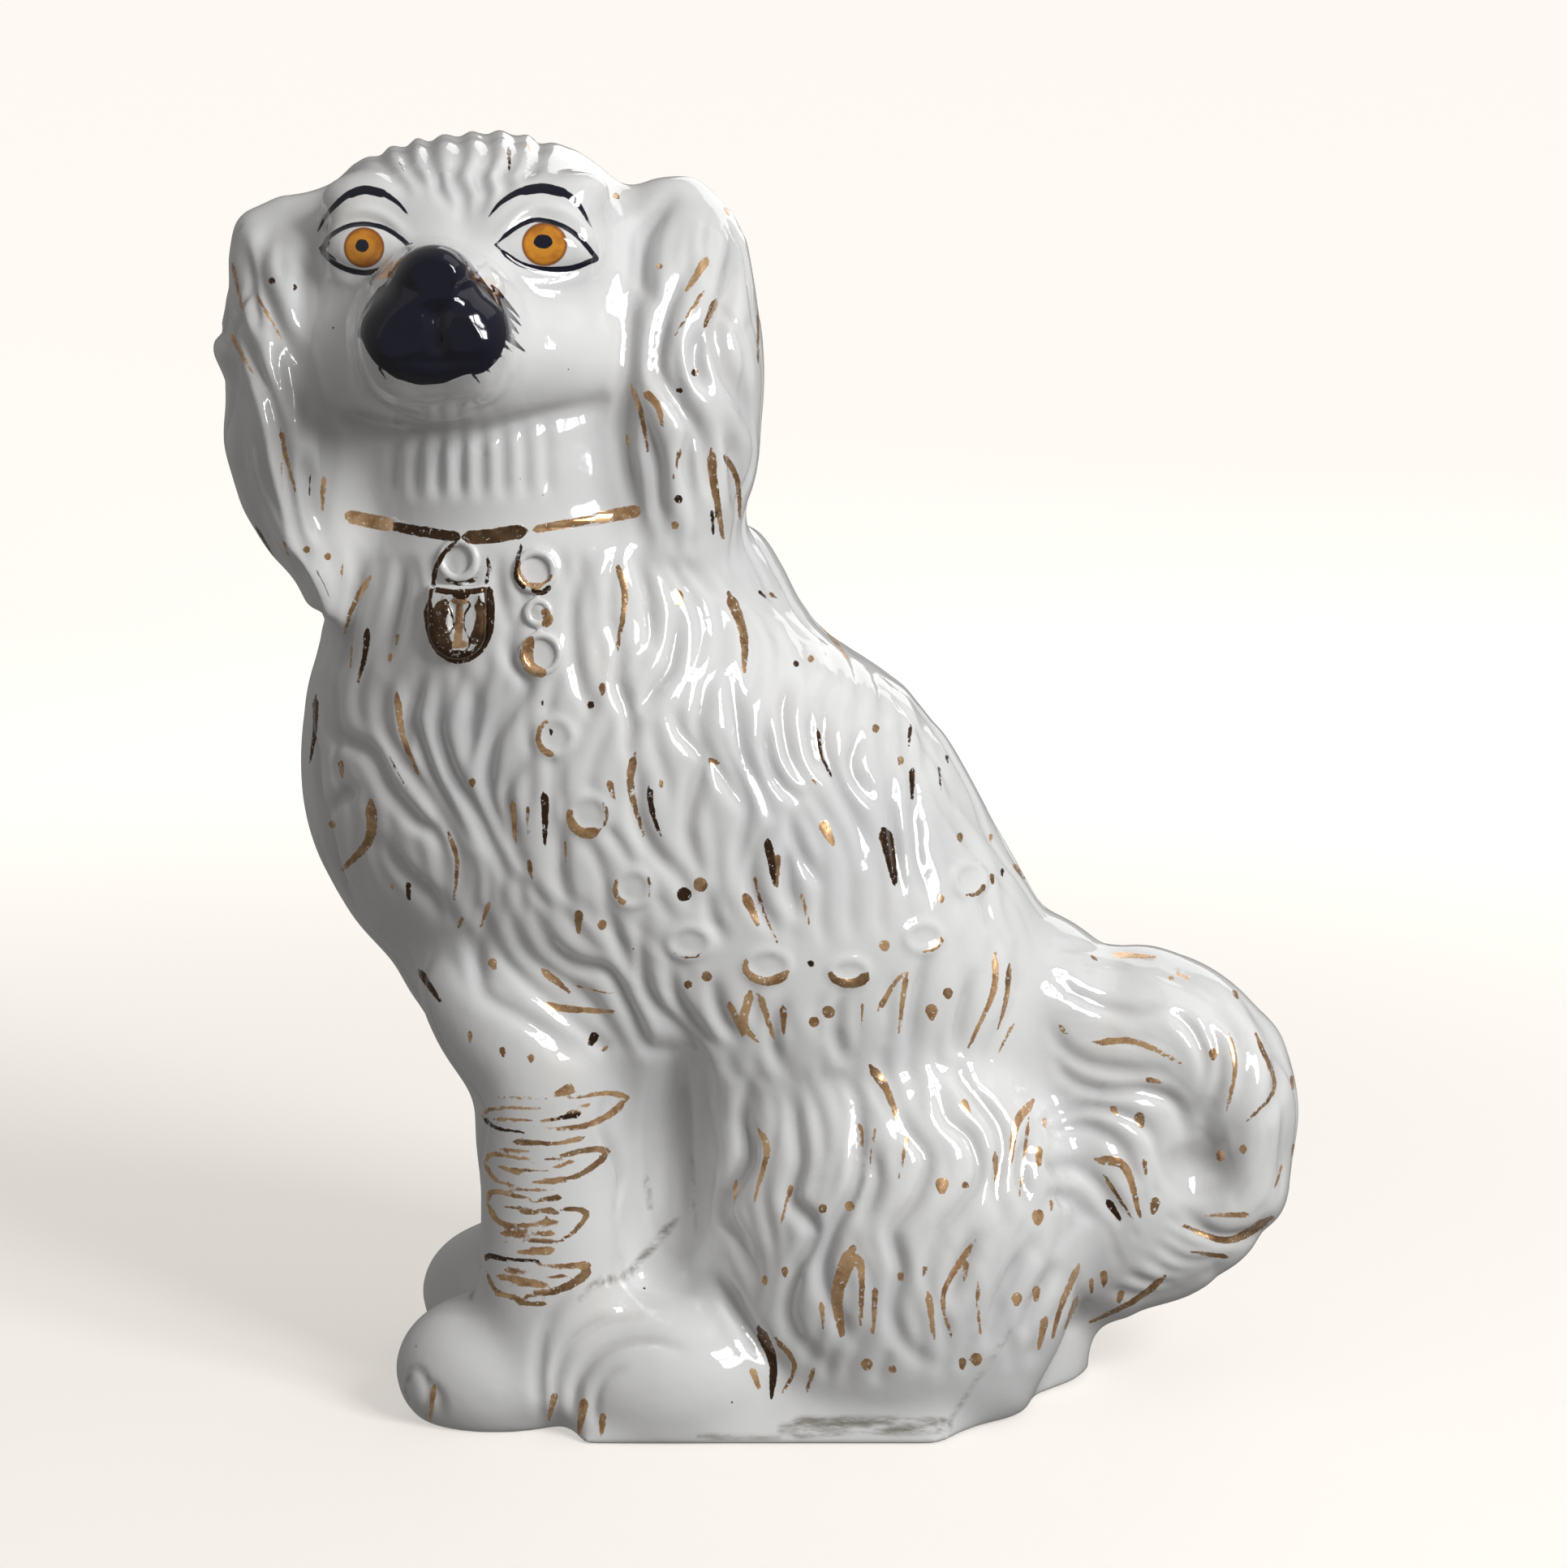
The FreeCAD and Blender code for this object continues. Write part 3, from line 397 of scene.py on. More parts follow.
# fur: each fan's grooves run between its guides, top to bottom, with waves, as staggered locks
fur = {
    "chest": {"grooves": 26, "width": 7.5, "depth": 0.95, "wave": 13, "waves": 2.0, "lock": 0.3, "guides": [
        [(422, 668), (402, 760), (386, 850), (384, 930), (400, 1010), (432, 1085)],
        [(480, 690), (455, 780), (440, 880), (455, 970), (490, 1050), (520, 1115)],
        [(540, 690), (525, 850), (512, 950), (532, 1020), (558, 1080), (575, 1140)],
        [(620, 690), (615, 800), (592, 900), (583, 990), (606, 1070), (622, 1130)],
        [(700, 680), (694, 790), (664, 880), (650, 970), (662, 1050), (690, 1120)],
        [(760, 680), (762, 790), (745, 890), (738, 980), (760, 1060), (790, 1130)],
        [(820, 690), (842, 790), (835, 890), (838, 980), (870, 1060), (900, 1140)],
        [(870, 690), (922, 780), (930, 880), (942, 970), (970, 1060), (1000, 1160)],
        [(930, 700), (1002, 790), (1022, 890), (1038, 980), (1065, 1070), (1090, 1150)],
        [(985, 740), (1072, 830), (1112, 920), (1130, 1010), (1150, 1080), (1170, 1130)],
        [(1050, 785), (1135, 880), (1185, 970), (1215, 1050), (1240, 1110), (1268, 1150)]]},
    "flank": {"grooves": 11, "width": 7.5, "depth": 0.85, "wave": 5, "waves": 1.4, "lock": 0.8, "guides": [
        [(800, 1130), (790, 1180), (800, 1240), (830, 1290)],
        [(880, 1200), (880, 1240), (890, 1290), (905, 1330)],
        [(960, 1225), (955, 1265), (960, 1310), (965, 1345)],
        [(1040, 1225), (1030, 1265), (1035, 1310), (1045, 1345)],
        [(1120, 1200), (1105, 1250), (1100, 1300), (1110, 1340)],
        [(1200, 1150), (1180, 1220), (1165, 1290), (1170, 1340)],
        [(1265, 1150), (1250, 1220), (1225, 1300), (1215, 1350)]]},
    "haunch": {"grooves": 16, "width": 8.5, "depth": 1.0, "wave": 13, "waves": 1.8, "lock": 0.36, "guides": [
        [(880, 1330), (862, 1400), (880, 1480), (905, 1560), (885, 1640)],
        [(930, 1330), (925, 1410), (935, 1490), (925, 1570), (930, 1660)],
        [(990, 1320), (985, 1400), (1000, 1490), (985, 1580), (990, 1690)],
        [(1050, 1320), (1060, 1400), (1055, 1490), (1060, 1580), (1050, 1705)],
        [(1110, 1330), (1130, 1410), (1115, 1500), (1130, 1590), (1125, 1700)],
        [(1180, 1350), (1200, 1430), (1180, 1510), (1200, 1600), (1185, 1690)],
        [(1240, 1370), (1260, 1450), (1240, 1530), (1260, 1600), (1250, 1680)],
        [(1300, 1400), (1320, 1470), (1310, 1540), (1325, 1590), (1310, 1640)]]},
    "tail": {"grooves": 11, "width": 8.0, "depth": 1.0, "wave": 2, "waves": 1.0, "lock": 0.5, "guides": [
        [(1290, 1165), (1390, 1175), (1480, 1210), (1550, 1280), (1583, 1370), (1575, 1450), (1545, 1510)],
        [(1300, 1220), (1380, 1225), (1455, 1250), (1515, 1305), (1550, 1370), (1550, 1430), (1520, 1490)],
        [(1310, 1270), (1375, 1275), (1435, 1295), (1480, 1335), (1510, 1375), (1520, 1420), (1500, 1460)],
        [(1300, 1320), (1360, 1318), (1410, 1335), (1450, 1360), (1480, 1390), (1492, 1415), (1488, 1440)]]},
    "curl": {"grooves": 7, "width": 8.0, "depth": 0.9, "wave": 2, "waves": 1.0, "lock": 0.7, "guides": [
        [(1290, 1350), (1350, 1345), (1400, 1365), (1435, 1400), (1450, 1440)],
        [(1280, 1400), (1330, 1390), (1380, 1405), (1410, 1440), (1425, 1480)],
        [(1290, 1460), (1320, 1445), (1360, 1450), (1385, 1480), (1400, 1520)],
        [(1310, 1510), (1330, 1495), (1350, 1500), (1370, 1525), (1380, 1560)]]},
    "tip": {"grooves": 5, "width": 7.0, "depth": 1.1, "wave": 1, "waves": 1.0, "lock": 0.9, "guides": [
        [(1440, 1500), (1480, 1522), (1530, 1512), (1572, 1472)],
        [(1420, 1540), (1460, 1562), (1510, 1552), (1550, 1522)],
        [(1370, 1590), (1410, 1598), (1450, 1590), (1490, 1570)]]},
    "elbow": {"grooves": 7, "width": 9.0, "depth": 1.0, "wave": 3, "waves": 1.0, "lock": 0.95, "guides": [
        [(556, 1180), (590, 1230), (640, 1270), (700, 1305)],
        [(583, 1110), (605, 1180), (660, 1235), (740, 1290)],
        [(640, 1110), (670, 1180), (740, 1220), (790, 1295)],
        [(690, 1100), (730, 1160), (790, 1200), (830, 1290)],
        [(750, 1110), (790, 1150), (840, 1200), (870, 1290)]]},
    "earLeft": {"grooves": 6, "width": 7.0, "depth": 1.0, "wave": 12, "waves": 2.0, "lock": 0.45, "guides": [
        [(290, 310), (277, 400), (284, 480), (288, 560), (320, 650), (375, 722)],
        [(322, 295), (302, 390), (312, 470), (315, 560), (345, 650), (384, 718)],
        [(358, 290), (335, 380), (342, 460), (350, 560), (370, 640), (395, 708)],
        [(392, 330), (376, 400), (376, 470), (388, 560), (398, 640), (405, 700)]]},
    "earRight": {"grooves": 8, "width": 7.0, "depth": 1.0, "wave": 12, "waves": 2.0, "lock": 0.45, "guides": [
        [(800, 300), (786, 370), (800, 450), (785, 530), (800, 600), (812, 680)],
        [(840, 270), (830, 350), (820, 430), (830, 520), (835, 600), (850, 680)],
        [(882, 258), (882, 340), (858, 420), (876, 510), (870, 590), (885, 672)],
        [(915, 285), (926, 370), (906, 440), (925, 520), (912, 600), (915, 655)]]},
    "crown": {"grooves": 6, "width": 7.0, "depth": 0.15, "wave": 1, "waves": 1.0, "lock": 1.0, "guides": [
        [(540, 262), (515, 240), (480, 215), (440, 195)],
        [(565, 262), (548, 225), (530, 195), (510, 168)],
        [(582, 262), (580, 225), (578, 190), (576, 162)],
        [(598, 262), (608, 225), (620, 195), (636, 166)],
        [(620, 262), (650, 240), (690, 215), (730, 200)]]},
}
poll = {"grooves": 13, "width": 8.5, "depth": 1.3, "wave": 7, "waves": 2.0, "lock": 0.5, "guides": [
    [(470, 185), (425, 280), (415, 400), (425, 520), (430, 640)],
    [(530, 170), (505, 280), (500, 400), (505, 520), (510, 640)],
    [(590, 165), (590, 280), (590, 400), (590, 520), (590, 640)],
    [(660, 175), (680, 280), (685, 400), (685, 520), (680, 640)],
    [(720, 195), (755, 290), (765, 400), (765, 520), (770, 640)]]}  # the back of the head, instead of a face
# how the comb goes: points on a line, how far the locks stray in start, length and side, and overlap;
# what is called deep holds for the listed deepest valleys
comb = {"points": 40, "shortest": 4, "stagger": 0.6, "length": (0.75, 1.25), "overlap": 0.10,
        "phases": 24, "phase": 0.55, "bunch": 1.3, "side": 2.4,
        "width": (0.85, 1.15), "depth": (0.8, 1.1), "ridgeWidth": 1.5, "ridge": 0.45,
        "ridgeDepth": (0.5, 1.2), "ridgeTips": 0.45,
        "deepWidth": (0.9, 1.1), "deepDepth": (0.85, 1.1), "deepTips": 0.3}


def fanLines(fan):
    guides = [along(curve(g), comb["points"]) for g in fan["guides"]]
    lines, mids, bunch = [], [], rng.uniform(0, comb["phase"], comb["phases"])
    for i in range(2 * fan["grooves"] + 1):
        s = (i / (2 * fan["grooves"])) * (len(guides) - 1)
        k = min(int(s), len(guides) - 2)
        line = guides[k] + (guides[k + 1] - guides[k]) * (s - k)
        run = np.gradient(line, axis=0)
        side = np.stack([-run[:, 1], run[:, 0]], 1) / np.maximum(np.hypot(*run.T), 1e-6)[:, None]
        t = np.linspace(0, 1, len(line))
        phase = bunch[int(s * comb["bunch"])]
        line = line + side * (fan["wave"] * np.sin(2 * math.pi * (t * fan["waves"] + phase)))[:, None]
        (lines if i % 2 == 0 else mids).append(line)
    return lines, mids


def locksOn(line, lock, overlap=0.0):
    # the line parted into locks that start by chance
    last = comb["points"] - 1
    start = -rng.uniform(0.0, comb["stagger"]) * lock
    while start < 1:
        stop = start + lock * rng.uniform(*comb["length"])
        a, b = max(0, int(start * last)), min(last + 1, int(stop * last) + 1)
        if b - a > comb["shortest"]:
            yield line[a:b]
        start = stop - overlap * lock


def carveFur(fans):
    valleys, ridges = emptyRelief(), emptyRelief()
    for fan in fans:
        lines, mids = fanLines(fan)
        for line in lines:
            for lock in locksOn(line, fan["lock"], comb["overlap"]):
                lock = lock + (rng.uniform(-comb["side"], comb["side"]), 0)
                width = fan["width"] * rng.uniform(*comb["width"])
                groove(valleys, lock, width, fan["depth"] * rng.uniform(*comb["depth"]))
        for line in mids:
            for lock in locksOn(line, fan["lock"]):
                depth = comb["ridge"] * fan["depth"] * rng.uniform(*comb["ridgeDepth"])
                groove(ridges, lock, fan["width"] * comb["ridgeWidth"], depth, comb["ridgeTips"])
    return blurred(ridges - valleys, 1)


# the deepest valleys between locks
combed = {
    "body": {"width": 9.5, "depth": 2.3, "locks": [
        [(629, 740), (642, 759), (625, 797), (648, 843), (629, 878), (602, 927), (606, 981), (637, 1050)],
        [(583, 836), (579, 885), (571, 924)],
        [(767, 805), (763, 843), (774, 874), (778, 904), (774, 927)],
        [(836, 767), (828, 820), (805, 851), (782, 885)],
        [(870, 828), (866, 866), (862, 904), (878, 935), (904, 973), (924, 1008), (920, 1042)],
        [(828, 874), (843, 904), (866, 935), (858, 973), (847, 1019), (851, 1065)],
        [(897, 820), (908, 874), (916, 927), (939, 973), (950, 1012)],
        [(947, 878), (947, 927), (962, 966), (989, 985)],
        [(977, 828), (966, 874), (973, 927), (989, 966)], [(1000, 866), (1004, 924), (1023, 958)],
        [(1019, 836), (1015, 885), (1019, 927), (1035, 966), (1058, 1019), (1065, 1069)],
        [(1058, 904), (1050, 943), (1069, 985)], [(973, 1000), (985, 1046), (1008, 1088)],
        [(1096, 962), (1103, 1019), (1111, 1096)], [(1126, 962), (1130, 1038), (1138, 1103)],
        [(405, 838), (409, 900), (454, 927), (476, 967), (507, 1007), (539, 1034), (556, 1088)],
        [(472, 842), (476, 900), (507, 954), (539, 999), (565, 1052), (570, 1097)],
        [(503, 833), (507, 887), (525, 945), (552, 999), (579, 1043)],
        [(543, 833), (539, 900), (556, 954), (583, 999), (610, 1052), (637, 1097)],
        [(588, 838), (583, 887), (574, 936)],
        [(646, 847), (614, 891), (601, 936), (601, 981), (619, 1025), (646, 1070)],
        [(650, 936), (623, 972), (628, 1016), (637, 1070)], [(690, 1016), (690, 1070), (699, 1106)],
        [(436, 972), (415, 985), (403, 1004)], [(467, 1034), (494, 1070), (530, 1106), (539, 1132)],
        [(387, 909), (389, 976), (402, 1034), (420, 1088), (460, 1132)],
        [(789, 954), (784, 999), (802, 1043), (842, 1088)],
        [(856, 932), (847, 999), (851, 1043), (864, 1079)],
        [(887, 909), (909, 954), (922, 999), (914, 1043), (909, 1097)],
        [(954, 1021), (927, 1061), (931, 1106), (958, 1150)], [(976, 1043), (972, 1088), (985, 1132)],
        [(873, 1097), (878, 1132), (891, 1159)],
        [(601, 1132), (588, 1177), (597, 1222), (637, 1249), (672, 1271), (717, 1307)],
        [(672, 1164), (708, 1190), (748, 1199), (775, 1244), (797, 1289), (833, 1311)],
        [(789, 1132), (789, 1177), (797, 1222), (829, 1266), (864, 1293)],
        [(824, 1182), (833, 1231), (860, 1271), (887, 1293)], [(878, 1213), (887, 1249), (909, 1284)],
        [(744, 1115), (762, 1159), (780, 1204)], [(450, 690), (432, 760), (418, 820)],
        [(500, 690), (486, 760), (470, 820)], [(520, 830), (505, 880), (498, 930)],
        [(720, 690), (706, 760), (712, 830), (730, 880)], [(790, 680), (800, 740), (806, 800)],
        [(1144, 1180), (1130, 1230), (1120, 1290)], [(1040, 1225), (1030, 1270), (1040, 1310)],
        [(960, 1240), (952, 1280), (962, 1320)], [(1200, 1200), (1186, 1250), (1176, 1300)]]},
    "haunch": {"width": 11.0, "depth": 2.7, "locks": [
        [(925, 1324), (915, 1379), (920, 1429), (890, 1488), (910, 1528), (935, 1578)],
        [(984, 1324), (979, 1379), (984, 1429), (974, 1478), (1004, 1518), (979, 1568), (969, 1618),
          (989, 1658), (1024, 1687)],
        [(1029, 1319), (1054, 1354), (1059, 1404), (1054, 1459), (1029, 1508), (1014, 1558),
          (1024, 1608), (1054, 1658)],
        [(1074, 1409), (1079, 1459), (1059, 1508)],
        [(1114, 1344), (1119, 1389), (1144, 1429), (1129, 1478), (1099, 1518), (1109, 1568),
          (1099, 1618), (1119, 1662), (1153, 1682)],
        [(1153, 1339), (1168, 1379), (1198, 1404), (1208, 1449), (1183, 1488), (1153, 1528),
          (1139, 1578)],
        [(1168, 1309), (1198, 1344), (1228, 1379), (1238, 1419), (1228, 1468), (1238, 1508)],
        [(1203, 1523), (1183, 1568), (1168, 1608)],
        [(1273, 1528), (1248, 1573), (1228, 1618), (1218, 1658)],
        [(880, 1560), (905, 1610), (930, 1650), (960, 1690)], [(1300, 1560), (1280, 1600), (1262, 1640)],
        [(1272, 1390), (1262, 1440), (1268, 1490)]]},
    "tail": {"width": 9.5, "depth": 2.1, "locks": [
        [(1293, 1260), (1308, 1289), (1338, 1309), (1387, 1319), (1437, 1324)],
        [(1298, 1299), (1318, 1329), (1357, 1344), (1407, 1344), (1447, 1359), (1462, 1399)],
        [(1293, 1379), (1338, 1364), (1387, 1374), (1422, 1399), (1432, 1439)],
        [(1293, 1394), (1338, 1389), (1382, 1414), (1402, 1459)],
        [(1288, 1439), (1328, 1439), (1357, 1464), (1382, 1503)],
        [(1293, 1473), (1323, 1478), (1342, 1503)],
        [(1482, 1255), (1502, 1289), (1502, 1339), (1482, 1379)],
        [(1502, 1235), (1532, 1274), (1536, 1329), (1517, 1374)],
        [(1532, 1230), (1566, 1279), (1576, 1334), (1556, 1389)],
        [(1447, 1245), (1472, 1270), (1487, 1309), (1482, 1344)],
        [(1457, 1493), (1497, 1523), (1541, 1523), (1566, 1503)],
        [(1300, 1205), (1340, 1230), (1390, 1245), (1430, 1240)]]},
    "ear": {"width": 13.0, "depth": 3.2, "locks": [
        [(854, 318), (821, 384), (811, 450), (839, 498), (868, 545), (877, 616)],
        [(910, 276), (901, 356), (887, 403), (896, 450), (920, 498), (934, 545)],
        [(830, 238), (797, 285), (792, 332), (806, 380)],
        [(825, 413), (835, 479), (854, 526), (849, 568), (858, 639)],
        [(896, 521), (910, 568), (915, 616), (918, 655)],
        [(788, 507), (806, 568), (811, 620), (825, 663)], [(868, 400), (858, 440), (872, 480)],
        [(334, 280), (316, 328), (334, 384), (363, 441), (377, 498), (382, 545)],
        [(292, 318), (287, 384), (311, 450), (334, 498), (349, 568), (363, 639), (382, 701)],
        [(278, 422), (292, 479), (311, 545), (320, 592), (349, 663)],
        [(282, 545), (297, 601), (325, 663)], [(270, 330), (266, 380), (280, 436), (292, 500)],
        [(268, 450), (288, 520), (296, 590), (316, 650), (350, 715)],
        [(300, 300), (306, 360), (322, 410)], [(352, 400), (346, 450), (356, 510)],
        [(372, 560), (384, 610), (392, 660)]]},
    "crown": {"width": 10.5, "depth": 2.1, "locks": [
        [(462, 172), (472, 200), (494, 226), (500, 240)],
        [(498, 152), (500, 192), (512, 216), (530, 236)],
        [(532, 146), (528, 188), (538, 214), (541, 232), (556, 252)],
        [(562, 144), (567, 190), (558, 214), (569, 236), (572, 266)],
        [(594, 144), (602, 188), (592, 214), (599, 236), (588, 258)],
        [(630, 146), (635, 190), (620, 212), (622, 232), (606, 252)],
        [(668, 152), (660, 198), (640, 220)]]},
}
# how a deep valley flattens the fine locks beside it, and how its banks rise
banks = {"reach": 8, "flatten": 1.1, "most": 0.8, "rise": 0.7}


def combLocks():
    made = emptyRelief()
    for area in combed.values():
        for points in area["locks"]:
            width = area["width"] * rng.uniform(*comb["deepWidth"])
            depth = area["depth"] * rng.uniform(*comb["deepDepth"])
            groove(made, curve(points), width, depth, comb["deepTips"])
    return made


def combedFur():
    fine, valleys = carveFur(fur.values()), combLocks()
    near = blurred(valleys, banks["reach"])
    fine = fine * (1 - np.clip(banks["flatten"] * near, 0, banks["most"]))
    return fine - blurred(valleys, 1) + banks["rise"] * np.clip(near, 0, banks["most"])


furRelief = combedFur()
backRelief = furRelief.copy()
print("fur carved")


# chain and lock: ring places and half sizes in picture pixels, heights in mm
chain = {
    "rings": [
        (660, 700, 21, 22), (667, 806, 22, 24), (684, 908, 21, 22), (725, 1004, 23, 23), (780, 1094, 22, 22),
        (849, 1161, 25, 19), (945, 1190, 27, 19), (1046, 1197, 23, 15), (1138, 1155, 22, 17),
        (1195, 1084, 19, 19)],
    "height": 0.75, "width": 5.5, "clear": 1.35, "window": 60,
    "lock": (566, 772, 36, 46), "lockClear": 1.15, "lockPad": 1.1, "lockMound": 0.9,
}


def flatten(relief, x, y, rx, ry, window):
    # the fur is smoothed away where a sprig lies
    u, v = int(x / reliefStep), int(y / reliefStep)
    gy, gx = np.mgrid[v - window:v + window, u - window:u + window]
    far = np.hypot((gx * reliefStep - x) / rx, (gy * reliefStep - y) / ry)
    relief[v - window:v + window, u - window:u + window] *= 1 - np.exp(-far ** 6)


def carveChain(relief):
    up, clear = emptyRelief(), chain["clear"]
    turn = np.linspace(0, 2 * math.pi, 60)
    for x, y, rx, ry in chain["rings"]:
        flatten(relief, x, y, rx * clear, ry * clear, chain["window"])
        ring = np.stack([x + rx * np.cos(turn), y + ry * np.sin(turn)], 1)
        groove(up, ring, chain["width"], chain["height"], tips=0.001)  # a ring has no ends
    x, y, rx, ry = chain["lock"]
    flatten(relief, x, y, rx * chain["lockClear"], ry * chain["lockClear"], 2 * chain["window"])
    swell(relief, x, y, rx * chain["lockPad"], ry * chain["lockPad"], chain["lockMound"], power=2)
    return relief + up


furRelief = carveChain(furRelief)
backRelief = backRelief + carveFur([poll])

# mounds are place, half sizes, height, turn and power; ridges and valleys are a line, width and depth
face = {
    "mounds": [
        (448, 306, 50, 27, 1.7, 0, 1.6), (671, 302, 56, 29, 1.7, 3, 1.6),  # eyeballs
        (448, 250, 60, 26, 1.3, -6, 1), (660, 248, 54, 26, 1.1, 4, 1),  # brows
        (536, 340, 40, 34, 3.4, 0, 1.8),  # nose
        (487, 410, 38, 46, 3.2, 8, 1.8), (588, 408, 40, 46, 3.2, -8, 1.8),  # flews
        (540, 455, 46, 18, 1.0, 0, 1),  # lower lip
        (512, 356, 13, 9, -1.8, 30, 1), (564, 356, 13, 9, -1.8, -30, 1),  # nostrils
        (582, 262, 26, 40, -1.3, 0, 1),  # between the brows
        (412, 400, 50, 70, 1.0, 0, 1), (700, 410, 60, 70, 0.8, 0, 1)],  # cheeks
    "valleys": [
        ([(537, 372), (536, 402), (538, 440)], 12, 1.6),
        ([(466, 452), (500, 440), (538, 446), (576, 440), (608, 450)], 8, 1.0),
        ([(393, 304), (415, 286), (448, 274), (480, 284), (504, 304)], 5, 0.7),
        ([(393, 306), (420, 326), (450, 336), (480, 326), (504, 304)], 5, 0.6),
        ([(610, 302), (634, 281), (662, 271), (700, 284), (735, 318)], 5, 0.7),
        ([(610, 302), (638, 324), (672, 332), (706, 330), (735, 319)], 5, 0.6),
        ([(388, 482), (420, 512), (470, 530), (525, 537), (590, 533), (650, 520), (712, 505),
          (765, 492)], 13, 2.2),
        ([(398, 246), (388, 320), (376, 400), (388, 480), (408, 540), (404, 620), (404, 700)], 13, 2.2),
        ([(786, 262), (788, 310), (778, 380), (774, 450), (766, 520), (778, 600), (800, 690)], 13, 2.2)],
    "ridges": [
        ([(400, 290), (420, 270), (448, 262), (478, 270), (502, 290)], 6, 0.8),
        ([(614, 290), (640, 266), (668, 258), (704, 268), (738, 300)], 6, 0.9),
        ([(405, 330), (430, 348), (460, 350), (490, 338)], 7, 0.5),
        ([(625, 330), (660, 348), (700, 346), (730, 334)], 7, 0.5)],
}
toes = {
    "mounds": [
        (684, 1728, 13, 30, 0.9, 0, 1), (716, 1740, 14, 34, 0.9, 0, 1), (512, 1722, 12, 26, 0.7, 0, 1)],
    "valleys": [
        ([(686, 1765), (683, 1712), (690, 1680), (708, 1652), (740, 1630), (784, 1618)], 8, 1.5),
        ([(712, 1766), (709, 1716), (718, 1690), (738, 1668), (768, 1654), (808, 1652),
          (842, 1664)], 8, 1.4),
        ([(735, 1768), (733, 1726), (744, 1700), (770, 1684)], 7, 0.8),
        ([(700, 1600), (672, 1640), (664, 1690), (668, 1750)], 10, 1.5),
        ([(522, 1700), (541, 1722), (542, 1764)], 7, 0.9),
        ([(498, 1690), (518, 1690), (528, 1722), (516, 1752)], 5, 0.7)],
    "ridges": [],
}
ruff = {"centre": 566, "step": 27.0, "count": 8, "top": 538, "bottom": 612, "depth": 1.9, "width": 7.0,
        "arch": 0.00105, "archMiddle": 540, "splay": 0.6, "fade": 0.13}
tailDimple = (1478, 1440, 34, 30, -3.5)
elbowRecess = (838, 1405, 36, 122, -7.5, 0, 1.6)  # behind the near foreleg


def carveLines(made, down, up):
    low, high = emptyRelief(), emptyRelief()
    for points, width, depth in down:
        groove(low, curve(points), width, depth)
    for points, width, depth in up:
        groove(high, curve(points), width, depth)
    return made + high - low


def modelled(form):
    made = emptyRelief()
    for mound in form["mounds"]:
        swell(made, *mound)
    return carveLines(made, form["valleys"], form["ridges"])


def ruffFlutes():
    flutes = []
    for n in range(1 - ruff["count"] // 2, ruff["count"] // 2 + 1):
        x = ruff["centre"] + ruff["step"] * n
        top = (x, ruff["top"] - ruff["arch"] * (x - ruff["archMiddle"]) ** 2)
        bottom = (x + n * ruff["splay"], ruff["bottom"])
        flutes.append(([top, bottom], ruff["width"], ruff["depth"] * (1 - abs(n) * ruff["fade"])))
    return flutes


faceRelief = carveLines(modelled(face), ruffFlutes(), [])
pawRelief = modelled(toes)
swell(furRelief, *tailDimple)
swell(backRelief, *tailDimple)
frontRelief = furRelief + blurred(faceRelief, 1)
swell(frontRelief, *elbowRecess)
print("face carved")


def seatSlab(mesh):
    # the underside steps up inside the foot rim, so that the slab lies in it
    tree = BVHTree.FromBMesh(welded("base_slab"))
    co = coOf(mesh)
    for i in np.nonzero(co[:, 2] < blank["footFlat"] * mm)[0]:
        near = tree.find_nearest(Vector((co[i, 0], co[i, 1], 0.0)))
        if near[3] < blank["slabNear"] * mm:
            co[i, 2] = blank["slabTop"] * mm
    co[:, 2] = np.maximum(co[:, 2], 0.0)
    placeAll(mesh, co)


def nearestNode(mesh):
    # each face goes to the CAD node it lies on, and front and back part at the seam
    joined, owner = bmesh.new(), []
    for k, node in enumerate(blank["skin"]):
        joined.from_mesh(frame["nodes"][node].data)
        owner += [k] * (len(joined.faces) - len(owner))
    tree = BVHTree.FromBMesh(joined)
    joined.free()
    centres = np.zeros(len(mesh.polygons) * 3, np.float32)
    mesh.polygons.foreach_get("center", centres)
    centres = centres.reshape(-1, 3)
    found = np.array([owner[tree.find_nearest(Vector(c))[2]] for c in centres], np.int32)
    behind = centres[:, 1] > 0
    for form in ("body", "head"):
        front, back = (blank["skin"].index(form + side) for side in ("_front_shell", "_back_shell"))
        either = (found == front) | (found == back)
        found[either & behind], found[either & ~behind] = back, front
    return found


# pushes with a broad tool in the picture's plane: place, how far right and down, and reach, in pixels
nudges = [
    (252, 480, 24, 0, 45), (256, 550, 18, 0, 45), (268, 620, 23, 0, 45), (285, 680, 34, -4, 45),
    (316, 735, 53, -14, 45), (345, 775, 30, -20, 40), (400, 792, 4, -8, 30), (262, 395, 12, 0, 30),
    (264, 350, 10, 6, 30), (300, 280, -10, -14, 35), (365, 235, 0, 6, 30), (455, 205, -8, -10, 55),
    (500, 182, 0, -3, 40), (628, 165, 0, -6, 50), (725, 205, 4, -13, 60), (795, 238, 0, -14, 55),
    (865, 250, 4, -18, 50), (900, 300, 9, -27, 50), (935, 380, 0, -2, 45), (975, 690, -8, 12, 60),
    (1040, 760, -8, 10, 60), (1480, 1185, -9, 5, 60), (1540, 1230, -12, 8, 50), (1590, 1310, -8, 0, 60),
    (1590, 1440, -7, 0, 50), (1560, 1535, -14, -6, 45), (1520, 1570, -8, -5, 40), (1370, 1640, 14, 4, 35),
    (1250, 1740, 10, 0, 30), (480, 1180, 8, 0, 40), (572, 1350, 13, 0, 45)]
footHold = (2, 12)  # mm over which the pushes fade towards the foot


